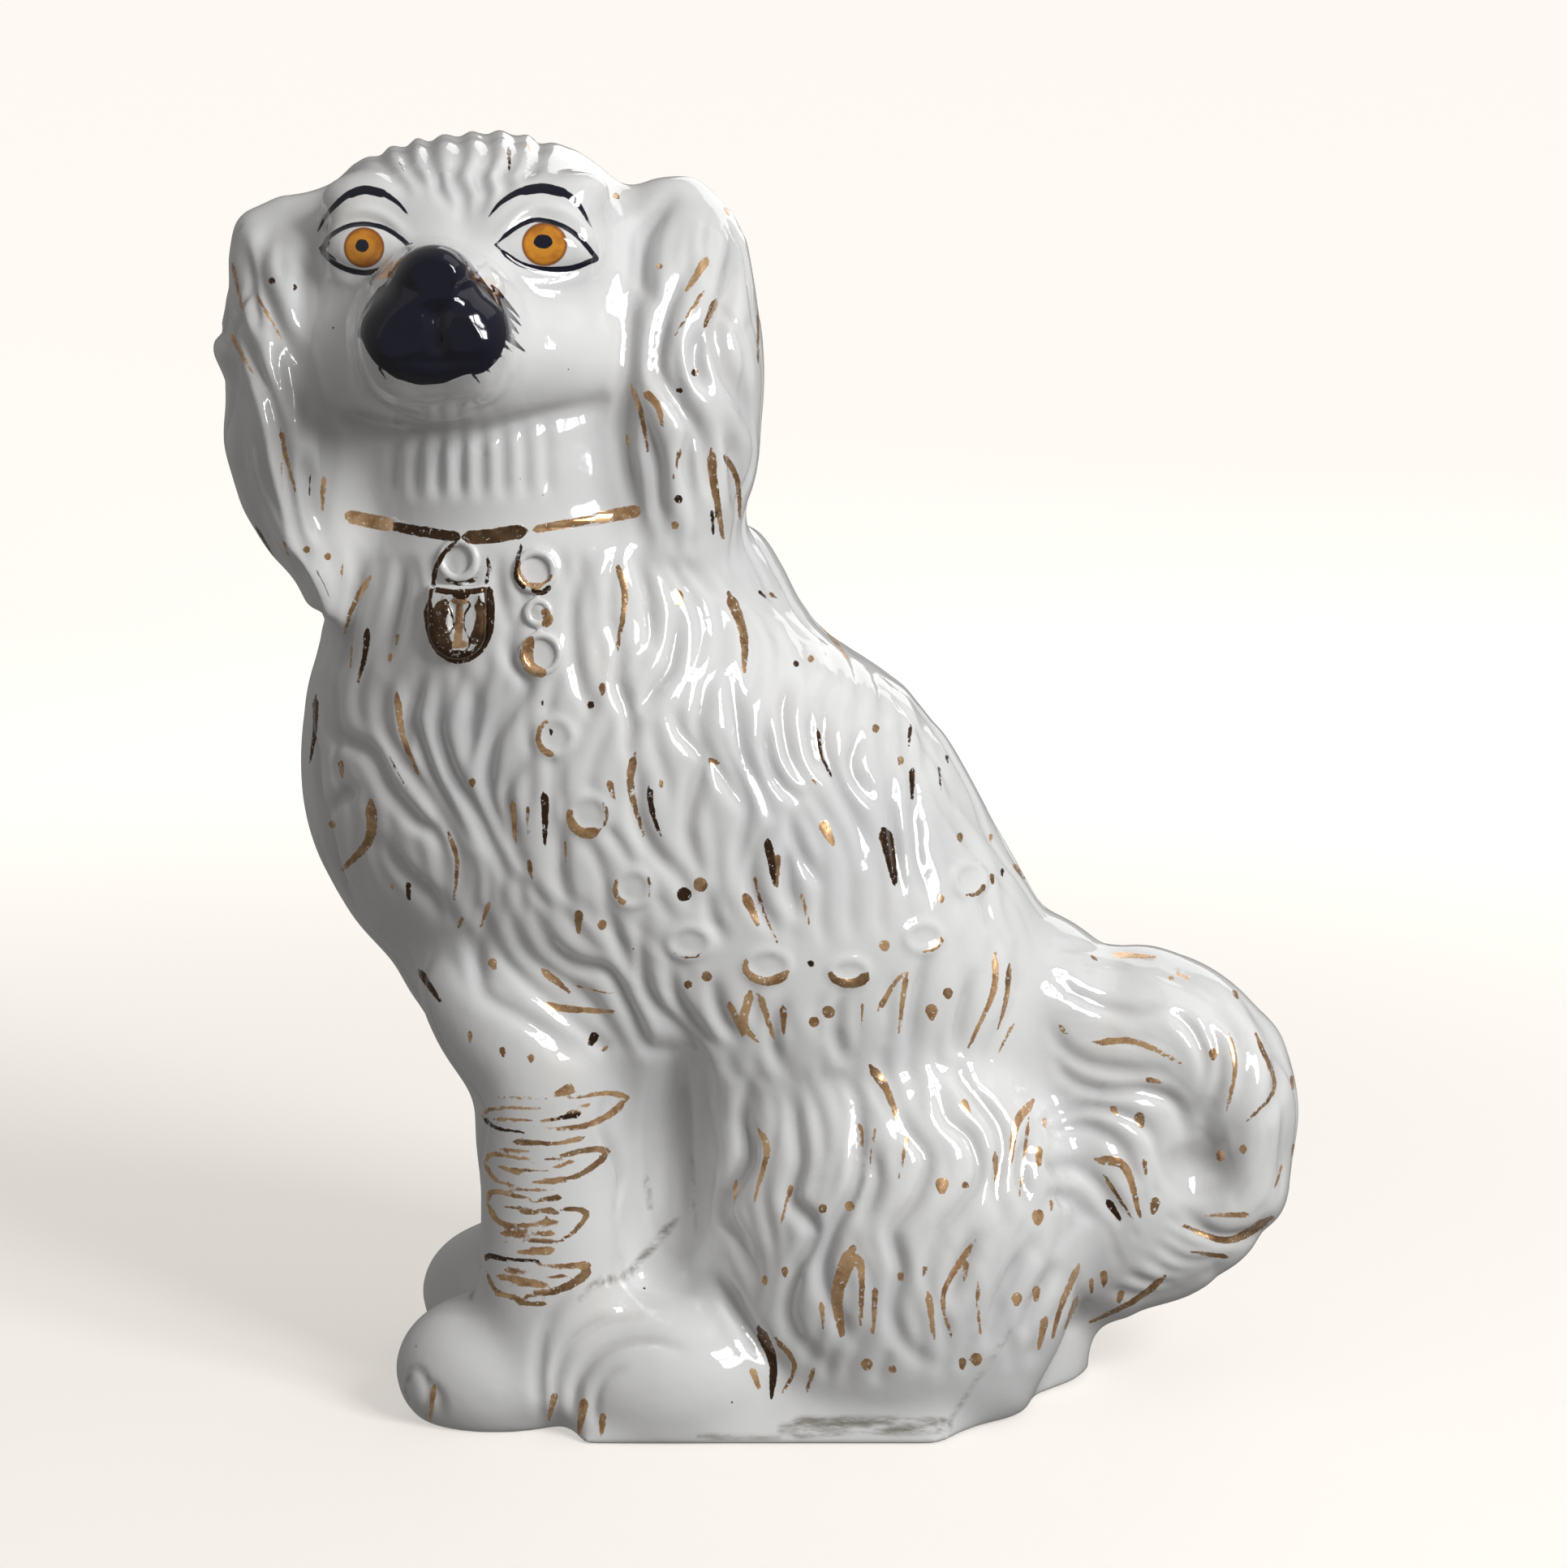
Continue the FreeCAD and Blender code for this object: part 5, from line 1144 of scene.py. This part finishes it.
def paintAttributes(mesh, cavity=None):
    co, normals = coOf(mesh), normalsOf(mesh)
    px, py = onPhoto(co)
    toCamera = np.array(camera["place"]) * mm - co
    toCamera /= np.linalg.norm(toCamera, axis=1)[:, None]
    facing = (normals * toCamera).sum(1)
    seen = (facing > reached["turned"]) & (co[:, 1] < reached["behind"])
    nearest = np.min([sample(field, px, py) for field in (giltMap, inkMap, soilMap, muzzleMap)], axis=0)
    for i in np.nonzero(seen & (nearest < reached["paint"]))[0]:  # no brush reaches what stands behind a leg
        start = Vector(co[i] + toCamera[i] * reached["lift"])
        if (screen.ray_cast(start, Vector(toCamera[i]))[3] or 0) > reached["hidden"]:
            seen[i] = False
    beside = (px < dipped["corner"][0]) & (py < dipped["corner"][1])
    beside &= co[:, 1] * toMm < muzzleTip + dipped["clear"]
    beside &= facing < dipped["facing"]  # the lid ends where the muzzle's side begins
    eye = np.min([np.hypot((px - x) / rx, (py - y) / ry) for x, y, rx, ry in eyes["iris"]], axis=0)
    inked = np.where(seen & ~beside, -sample(inkMap, px, py), -paintFar)
    row, column = np.clip(py, 0, mapHigh).astype(int), np.clip(px, 0, mapWide).astype(int)
    values = {
        "gilt": np.where(seen, -sample(giltMap, px, py), -paintFar),
        "ink": np.maximum(inked, dipMuzzle(co, facing, seen, px, py)),
        "soil": np.where(seen, -sample(soilMap, px, py), -paintFar),
        "iris": np.where(seen, np.minimum(eye, eyes["beyond"]), eyes["beyond"]),
        "cavity": np.zeros(len(co)) if cavity is None else cavity,
        "tarnish": tarnishMap[row, column],
    }
    for name, value in values.items():
        made = mesh.attributes.new(name, "FLOAT", "POINT")
        made.data.foreach_set("value", value.astype(np.float32))


corners = [tuple(polygon.vertices) for polygon in skin.polygons]
screen = BVHTree.FromPolygons([Vector(v) for v in coOf(skin)], corners)
muzzleTip = coOf(skin)[sample(muzzleMap, *onPhoto(coOf(skin))) < 0, 1].min() * toMm
paintAttributes(skin, cavity=np.clip(-relief / cavityDeep, 0, 1))
pointNormals = skin.attributes.new("skinNormal", "FLOAT_VECTOR", "POINT")
pointNormals.data.foreach_set("vector", normalsOf(skin).ravel().astype(np.float32))
print("paint laid on the skin")


# finishes
glaze = {"white": (0.80, 0.805, 0.80, 1), "shade": (0.70, 0.705, 0.71, 1), "cream": (0.80, 0.78, 0.73, 1),
         "poolShade": (0.52, 0.515, 0.52, 1), "black": (0.003, 0.004, 0.016, 1), "brown": (0.09, 0.07, 0.045, 1),
         "dirt": (0.125, 0.105, 0.07, 1), "amber": (0.66, 0.27, 0.022, 1), "amberMid": (0.42, 0.14, 0.012, 1),
         "amberDark": (0.22, 0.06, 0.01, 1), "rough": 0.05, "roughVaries": 0.05, "ripple": 0.10,
         "rippleDeep": 0.0012, "bend": 1.52, "coat": 0.35, "coatRough": 0.03}
gold = {"bright": (0.86, 0.56, 0.30, 1), "deep": (0.46, 0.25, 0.11, 1), "burnt": (0.09, 0.045, 0.02, 1),
        "rough": 0.12, "roughVaries": 0.22}
biscuit = {"pale": (0.66, 0.63, 0.57, 1), "dark": (0.50, 0.46, 0.40, 1), "rough": 0.45, "roughVaries": 0.3,
           "grain": 0.5, "grainDeep": 0.0004}


def nodeKit(material):
    material.use_nodes = True
    tree = material.node_tree
    tree.nodes.clear()

    def add(kind, **values):
        node = tree.nodes.new(kind)
        for key, value in values.items():
            setattr(node, key, value)
        return node

    def link(a, b):
        tree.links.new(a, b)

    def settings(node, **values):
        for key, value in values.items():
            node.inputs[key.replace("_", " ")].default_value = value

    def attribute(name):
        return add("ShaderNodeAttribute", attribute_name=name).outputs["Fac"]

    def ramp(value, low, high):
        node = add("ShaderNodeMapRange", interpolation_type="SMOOTHSTEP")
        settings(node, From_Min=low, From_Max=high)
        link(value, node.inputs["Value"])
        return node.outputs["Result"]

    def maths(operation, a, b, c=None):
        node = add("ShaderNodeMath", operation=operation)
        for socket, value in zip(node.inputs, (a, b, c)):
            if isinstance(value, (int, float)):
                socket.default_value = value
            elif value is not None:
                link(value, socket)
        return node.outputs[0]

    def blend(share, a, b, kind="RGBA"):
        node = add("ShaderNodeMix", data_type=kind)
        slots = (0, 6, 7) if kind == "RGBA" else (0, 2, 3)
        for socket, value in zip(slots, (share, a, b)):
            if isinstance(value, (int, float, tuple)):
                node.inputs[socket].default_value = value
            else:
                link(value, node.inputs[socket])
        return node.outputs[2 if kind == "RGBA" else 0]

    def noise(scale, detail=3.0, rough=0.5, stretch=(1.0, 1.0, 1.0)):
        node, mapping = add("ShaderNodeTexNoise"), add("ShaderNodeMapping")
        settings(node, Scale=scale, Detail=detail, Roughness=rough)
        settings(mapping, Scale=stretch)
        link(add("ShaderNodeTexCoord").outputs["Object"], mapping.inputs["Vector"])
        link(mapping.outputs["Vector"], node.inputs["Vector"])
        return node.outputs["Fac"]

    surface = add("ShaderNodeBsdfPrincipled")
    link(surface.outputs["BSDF"], add("ShaderNodeOutputMaterial").inputs["Surface"])

    def bump(height, strength, distance):
        node = add("ShaderNodeBump")
        settings(node, Strength=strength, Distance=distance)
        link(height, node.inputs["Height"])
        link(node.outputs["Normal"], surface.inputs["Normal"])

    return add, link, settings, attribute, ramp, maths, blend, noise, bump, surface


def paintedGlaze(name):
    material = bpy.data.materials.new(name)
    add, link, settings, attribute, ramp, maths, blend, noise, bump, surface = nodeKit(material)
    # glaze: painted shade, a darker cool grey in the hollows where the glaze also pools, and a little cream
    # where it is thin
    white = blend(ramp(noise(22.0, 3.0), 0.35, 0.68), glaze["white"], glaze["shade"])
    white = blend(maths("MULTIPLY", ramp(noise(38.0, 4.0), 0.55, 0.75), 0.35), white, glaze["cream"])
    # painted shade: the hollows are darkened towards grey
    white = blend(maths("MULTIPLY", ramp(attribute("cavity"), 0.15, 0.95), 0.42), white, glaze["poolShade"])
    speck = add("ShaderNodeTexVoronoi")
    settings(speck, Scale=110.0)
    link(add("ShaderNodeTexCoord").outputs["Object"], speck.inputs["Vector"])
    spots = maths("MULTIPLY", ramp(speck.outputs["Distance"], 0.035, 0.02), ramp(noise(9.0, 2.0), 0.60, 0.66))
    white = blend(maths("MULTIPLY", spots, 0.75), white, glaze["brown"])
    # dirt rubbed into the corners
    rubbed = ramp(noise(330.0, 7.0, 0.66, (0.2, 1.0, 0.9)), 0.36, 0.66)
    dirt = maths("MULTIPLY", ramp(attribute("soil"), -4.0, 5.0), rubbed)
    white = blend(maths("MULTIPLY", dirt, 0.80), white, glaze["dirt"])
    # eyes: amber with darker streaks and rim
    iris = attribute("iris")
    streaks = ramp(noise(150.0, 4.0, 0.6, (1.0, 1.0, 1.5)), 0.38, 0.62)
    streaks = maths("MULTIPLY", streaks, ramp(iris, 0.30, 0.75))
    amber = blend(streaks, glaze["amber"], glaze["amberMid"])
    amber = blend(ramp(iris, 0.80, 1.0), amber, glaze["amberDark"])
    painted = blend(ramp(iris, 1.04, 0.96), white, amber)
    ragged = maths("MULTIPLY_ADD", noise(700.0, 3.0), 1.2, -0.6)
    black = ramp(maths("ADD", attribute("ink"), ragged), -0.5, 0.6)
    painted = blend(black, painted, glaze["black"])
    # gilding: worn in flecks, thin at its edge, burnt brown where it is dull
    edge = maths("MULTIPLY_ADD", noise(520.0, 5.0, 0.7), 4.6, -2.3)
    laid = ramp(maths("ADD", attribute("gilt"), edge), -0.35, 0.75)
    laid = maths("MULTIPLY", laid, ramp(noise(900.0, 4.0, 0.7), 0.66, 0.60))
    tint = blend(ramp(noise(180.0, 5.0, 0.65), 0.36, 0.60), gold["deep"], gold["bright"])
    dull = maths("ADD", attribute("tarnish"), maths("MULTIPLY_ADD", noise(260.0, 4.0, 0.6), 0.5, -0.25))
    painted = blend(laid, painted, blend(ramp(dull, 0.25, 0.85), tint, gold["burnt"]))
    link(painted, surface.inputs["Base Color"])
    metal = maths("MULTIPLY_ADD", attribute("tarnish"), 0.35, 0.60)
    link(maths("MULTIPLY", laid, metal), surface.inputs["Metallic"])
    rough = maths("MULTIPLY_ADD", noise(30.0, 3.0), glaze["roughVaries"], glaze["rough"])
    goldRough = maths("MULTIPLY_ADD", noise(300.0, 4.0), gold["roughVaries"], gold["rough"])
    link(blend(laid, rough, goldRough, "FLOAT"), surface.inputs["Roughness"])
    settings(surface, IOR=glaze["bend"], Coat_Weight=glaze["coat"], Coat_Roughness=glaze["coatRough"])
    height = maths("ADD", noise(190.0, 2.0), maths("MULTIPLY", laid, 0.12))
    bump(height, glaze["ripple"], glaze["rippleDeep"])
    return material


def bareClay(name):
    material = bpy.data.materials.new(name)
    add, link, settings, attribute, ramp, maths, blend, noise, bump, surface = nodeKit(material)
    body = blend(ramp(noise(60.0, 5.0, 0.6), 0.35, 0.65), biscuit["pale"], biscuit["dark"])
    body = blend(maths("MULTIPLY", ramp(noise(600.0, 3.0), 0.60, 0.68), 0.5), body, glaze["brown"])
    link(body, surface.inputs["Base Color"])
    rough = maths("MULTIPLY_ADD", noise(90.0, 3.0), biscuit["roughVaries"], biscuit["rough"])
    link(rough, surface.inputs["Roughness"])
    bump(noise(900.0, 4.0), biscuit["grain"], biscuit["grainDeep"])
    return material


whiteGlaze = paintedGlaze("paintedGlaze")
clay = bareClay("bareClay")
print("finishes mixed")


# the pressed skin is parted along its seams, each part closed behind: wall in mm, share of faces kept inside
pieceNames = {"body_front_shell": "bodyFront", "body_back_shell": "bodyBack", "left_foreleg": "nearForeleg",
              "right_foreleg": "farForeleg", "tail": "tailPlume", "head_front_shell": "headFront",
              "head_back_shell": "headBack", "right_ear": "earFront", "left_ear": "earRear"}
wall = {"thick": 2.2, "lining": 0.08}


def outsideOf(mesh):
    outside = np.zeros(len(mesh.vertices), np.float32)
    mesh.attributes["outside"].data.foreach_get("value", outside)
    return outside


def closeBehind(part):
    bm = bmesh.new()
    bm.from_mesh(part.data)
    for f in bm.faces:
        f.material_index = 0
        f.smooth = True
    bmesh.ops.delete(bm, geom=[v for v in bm.verts if not v.link_faces], context="VERTS")
    outside = bm.verts.layers.float.new("outside")
    for v in bm.verts:
        v[outside] = 1.0
    before = set(bm.verts)
    bmesh.ops.solidify(bm, geom=list(bm.faces), thickness=wall["thick"] * mm)
    for v in bm.verts:
        if v not in before:
            v[outside] = 0.0
    bm.to_mesh(part.data)
    bm.free()


def thinLining(part):
    # the inside of each shell needs few faces
    inside = outsideOf(part.data) < 0.5
    group = part.vertex_groups.new(name="lining")
    group.add([int(i) for i in np.nonzero(inside)[0]], 1.0, "REPLACE")
    thin = part.modifiers.new("thin", "DECIMATE")
    thin.vertex_group = "lining"
    thin.vertex_group_factor = 1000.0
    thin.ratio = 1 - float(inside.mean()) * (1 - wall["lining"])
    bpy.context.view_layer.objects.active = part
    bpy.ops.object.modifier_apply(modifier=thin.name)
    part.vertex_groups.clear()


def skinNormals(mesh):
    # parts of one skin share their normals, so that no seam shows
    stored = np.zeros(len(mesh.vertices) * 3, np.float32)
    mesh.attributes["skinNormal"].data.foreach_get("vector", stored)
    own = normalsOf(mesh)
    stored = stored.reshape(-1, 3)
    use = (outsideOf(mesh) > 0.99) & ((stored * own).sum(1) > 0.2)
    mesh.normals_split_custom_set_from_vertices(np.where(use[:, None], stored, own))
    for name in ("skinNormal", "outside"):
        mesh.attributes.remove(mesh.attributes[name])


def partSkin(mesh, found):
    thing = linked("skin", mesh)
    mesh.materials.clear()
    for k in range(len(blank["skin"])):
        mesh.materials.append(bpy.data.materials.new("part%02d" % k))
    mesh.polygons.foreach_set("material_index", found)
    mesh.update()
    for other in bpy.context.selected_objects:
        other.select_set(False)
    bpy.context.view_layer.objects.active = thing
    thing.select_set(True)
    bpy.ops.object.mode_set(mode="EDIT")
    bpy.ops.mesh.separate(type="MATERIAL")
    bpy.ops.object.mode_set(mode="OBJECT")
    for part in list(bpy.context.selected_objects):
        slots, used = part.data.materials, part.data.polygons[0].material_index
        label = slots[used if used < len(slots) else 0].name
        node = blank["skin"][int(label[4:6])]
        part.name = pieceNames[node]
        part.data.materials.clear()
        part.data.materials.append(whiteGlaze)
        closeBehind(part)
        thinLining(part)
        skinNormals(part.data)
        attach(part, "root")
        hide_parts(node)
        print("piece", part.name, len(part.data.polygons), "faces")


partSkin(skin, labels)


# the small sprigged parts, in the painted glaze with gilt where the brush left it: node, then piece, slot,
# voxel in mm, relax rounds and how far it is pressed in, in mm
trim = {"collar_strap": ("collarBand", "gilding", 0.8, 5, 1.5),
        "padlock": ("padlockBody", "gilding", 0.4, 9, 0.3),
        "padlock_shackle": ("padlockShackle", "white_glaze", 0.4, 5, 0.5),
        "chain_links": ("chainRings", "white_glaze", 0.45, 5, 0.3)}
# only the gilded line stands proud of the neck: where the front begins in mm, the line's edge in pixels,
# and how far the rest sinks in front and behind, in mm
strap = {"front": (0, 6), "line": (1, 6), "sinks": 2.4, "behind": 0.4}


def pressedIn(node, co, pressed):
    if node != "collar_strap":
        return np.full(len(co), pressed)
    front = ease(-co[:, 1] * toMm, *strap["front"])
    sinks = strap["sinks"] * ease(sample(collarMap, *onPhoto(co)), *strap["line"])
    return front * (pressed + sinks) + strap["behind"] * (1 - front)


for node, (name, slot, voxel, rounds, pressed) in trim.items():
    data = remeshed(meshFrom(welded(node), name), voxel)
    data.name = name
    relax(data, rounds)
    co = coOf(data)
    inward = np.array([screen.find_nearest(Vector(place))[1] for place in co])
    placeAll(data, co - inward * pressedIn(node, co, pressed)[:, None] * mm)
    paintAttributes(data)
    data.materials.clear()
    data.materials.append(whiteGlaze)
    for polygon in data.polygons:
        polygon.use_smooth = True
    thing = linked(name, data)
    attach(thing, "root")
    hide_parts(node)
slab = frame["nodes"]["base_slab"]
slab.data.materials.clear()
slab.data.materials.append(clay)
print("trim fitted")


# the room: a pale floor swept up all round, a paned window to the right, a soft fill; lengths in metres
room = {"half": 2.8, "sweep": 1.0, "high": 3.2, "round": 96, "steps": 16, "colour": (1.0, 0.957, 0.908, 1),
        "glowNear": 0.48, "glowFar": 0.76, "near": 0.22, "far": 1.1, "matt": 0.62, "aim": (0, 0, 0.15),
        "windowPlace": (1.15, -1.15, 1.10), "windowSize": (0.30, 0.40), "panes": (2, 2), "gap": 0.08,
        "windowWatts": 7.1, "skyColour": (1.0, 0.965, 0.93, 1), "skyFrom": -0.7, "skyTo": 0.5,
        "skyLow": 0.16, "skyHigh": 0.27}
# the other lamps: place, size and watts
lamps = {"fill": ((-1.3, -1.3, 1.1), 1.4, 0.5), "top": ((1.0, 0.1, 1.7), 1.2, 2.2),
         "behind": ((0.5, 1.6, 1.1), 1.2, 5.0)}


def ramped(tree, source, target, limits):
    # a value taken from one range to another, straight unless it is told to ease
    node = tree.nodes.new("ShaderNodeMapRange")
    for socket, value in zip(("From Min", "From Max", "To Min", "To Max"), limits):
        node.inputs[socket].default_value = value
    tree.links.new(source, node.inputs["Value"])
    tree.links.new(node.outputs["Result"], target)
    return node


def palePaper():
    paper = bpy.data.materials.new("palePaper")
    paper.use_nodes = True
    tree = paper.node_tree
    tree.nodes.clear()
    kinds = ("Emission", "BsdfDiffuse", "AddShader", "OutputMaterial", "TexCoord", "VectorMath")
    glow, matt, both, out, place, far = (tree.nodes.new("ShaderNode" + kind) for kind in kinds)
    far.operation = "LENGTH"
    tree.links.new(place.outputs["Object"], far.inputs[0])
    limits = [room[key] for key in ("near", "far", "glowNear", "glowFar")]
    ramped(tree, far.outputs["Value"], glow.inputs["Strength"], limits).interpolation_type = "SMOOTHSTEP"
    glow.inputs["Color"].default_value = room["colour"]
    matt.inputs["Color"].default_value = tuple(c * room["matt"] for c in room["colour"][:3]) + (1,)
    tree.links.new(glow.outputs[0], both.inputs[0])
    tree.links.new(matt.outputs[0], both.inputs[1])
    tree.links.new(both.outputs[0], out.inputs["Surface"])
    return paper


def makeRoom():
    bm = bmesh.new()
    half, sweep = room["half"], room["sweep"]
    bmesh.ops.create_circle(bm, cap_ends=True, radius=half - sweep, segments=room["round"])
    edges = list(bm.edges)
    turns = np.linspace(0, math.pi / 2, room["steps"])[1:]
    rings = [(half - sweep + sweep * math.sin(a), sweep * (1 - math.cos(a))) for a in turns]
    last = (half - sweep, 0.0)
    for wide, rise in rings + [(half, room["high"])]:
        made = bmesh.ops.extrude_edge_only(bm, edges=edges)["geom"]
        verts = [g for g in made if isinstance(g, bmesh.types.BMVert)]
        edges = [g for g in made if isinstance(g, bmesh.types.BMEdge)]
        bmesh.ops.scale(bm, verts=verts, vec=(wide / last[0], wide / last[0], 1))
        bmesh.ops.translate(bm, verts=verts, vec=(0, 0, rise - last[1]))
        last = (wide, rise)
    bmesh.ops.recalc_face_normals(bm, faces=bm.faces)
    data = meshFrom(bm, "floor")
    for polygon in data.polygons:
        polygon.use_smooth = True
    floor = linked("floor", data)
    data.materials.append(palePaper())
    floor.visible_diffuse = floor.visible_glossy = False  # the paper's own light stays off the glaze


def lamp(name, place, size, watts, aim=room["aim"], sizeY=None):
    data = bpy.data.lights.new(name, "AREA")
    data.shape, data.size, data.size_y = "RECTANGLE", size, sizeY or size
    data.energy = watts
    thing = linked(name, data)
    thing.location = place
    thing.rotation_euler = (Vector(aim) - Vector(place)).to_track_quat("-Z", "Y").to_euler()


def makeWindow():
    middle, centre = Vector(room["windowPlace"]), Vector(room["aim"])
    right = (centre - middle).cross(Vector((0, 0, 1))).normalized()
    up = right.cross(centre - middle).normalized()
    (across, down), (wide, high) = room["panes"], room["windowSize"]
    for i in range(across):
        for j in range(down):
            shift = right * (i - (across - 1) / 2) * (wide + room["gap"])
            shift += up * (j - (down - 1) / 2) * (high + room["gap"])
            name = "pane%d%d" % (i, j)
            lamp(name, middle + shift, wide, room["windowWatts"], aim=centre + shift, sizeY=high)


def makeSky():
    world = bpy.data.worlds.new("room")
    bpy.context.scene.world = world
    world.use_nodes = True
    tree = world.node_tree
    sky = tree.nodes["Background"]
    sky.inputs["Color"].default_value = room["skyColour"]
    air, apart = tree.nodes.new("ShaderNodeTexCoord"), tree.nodes.new("ShaderNodeSeparateXYZ")
    tree.links.new(air.outputs["Generated"], apart.inputs[0])
    limits = [room[key] for key in ("skyFrom", "skyTo", "skyLow", "skyHigh")]
    ramped(tree, apart.outputs["Z"], sky.inputs["Strength"], limits)


makeRoom()
makeWindow()
for name, (place, size, watts) in lamps.items():
    lamp(name, place, size, watts)
makeSky()
bpy.context.scene.view_settings.view_transform = "Standard"
print("room lit")
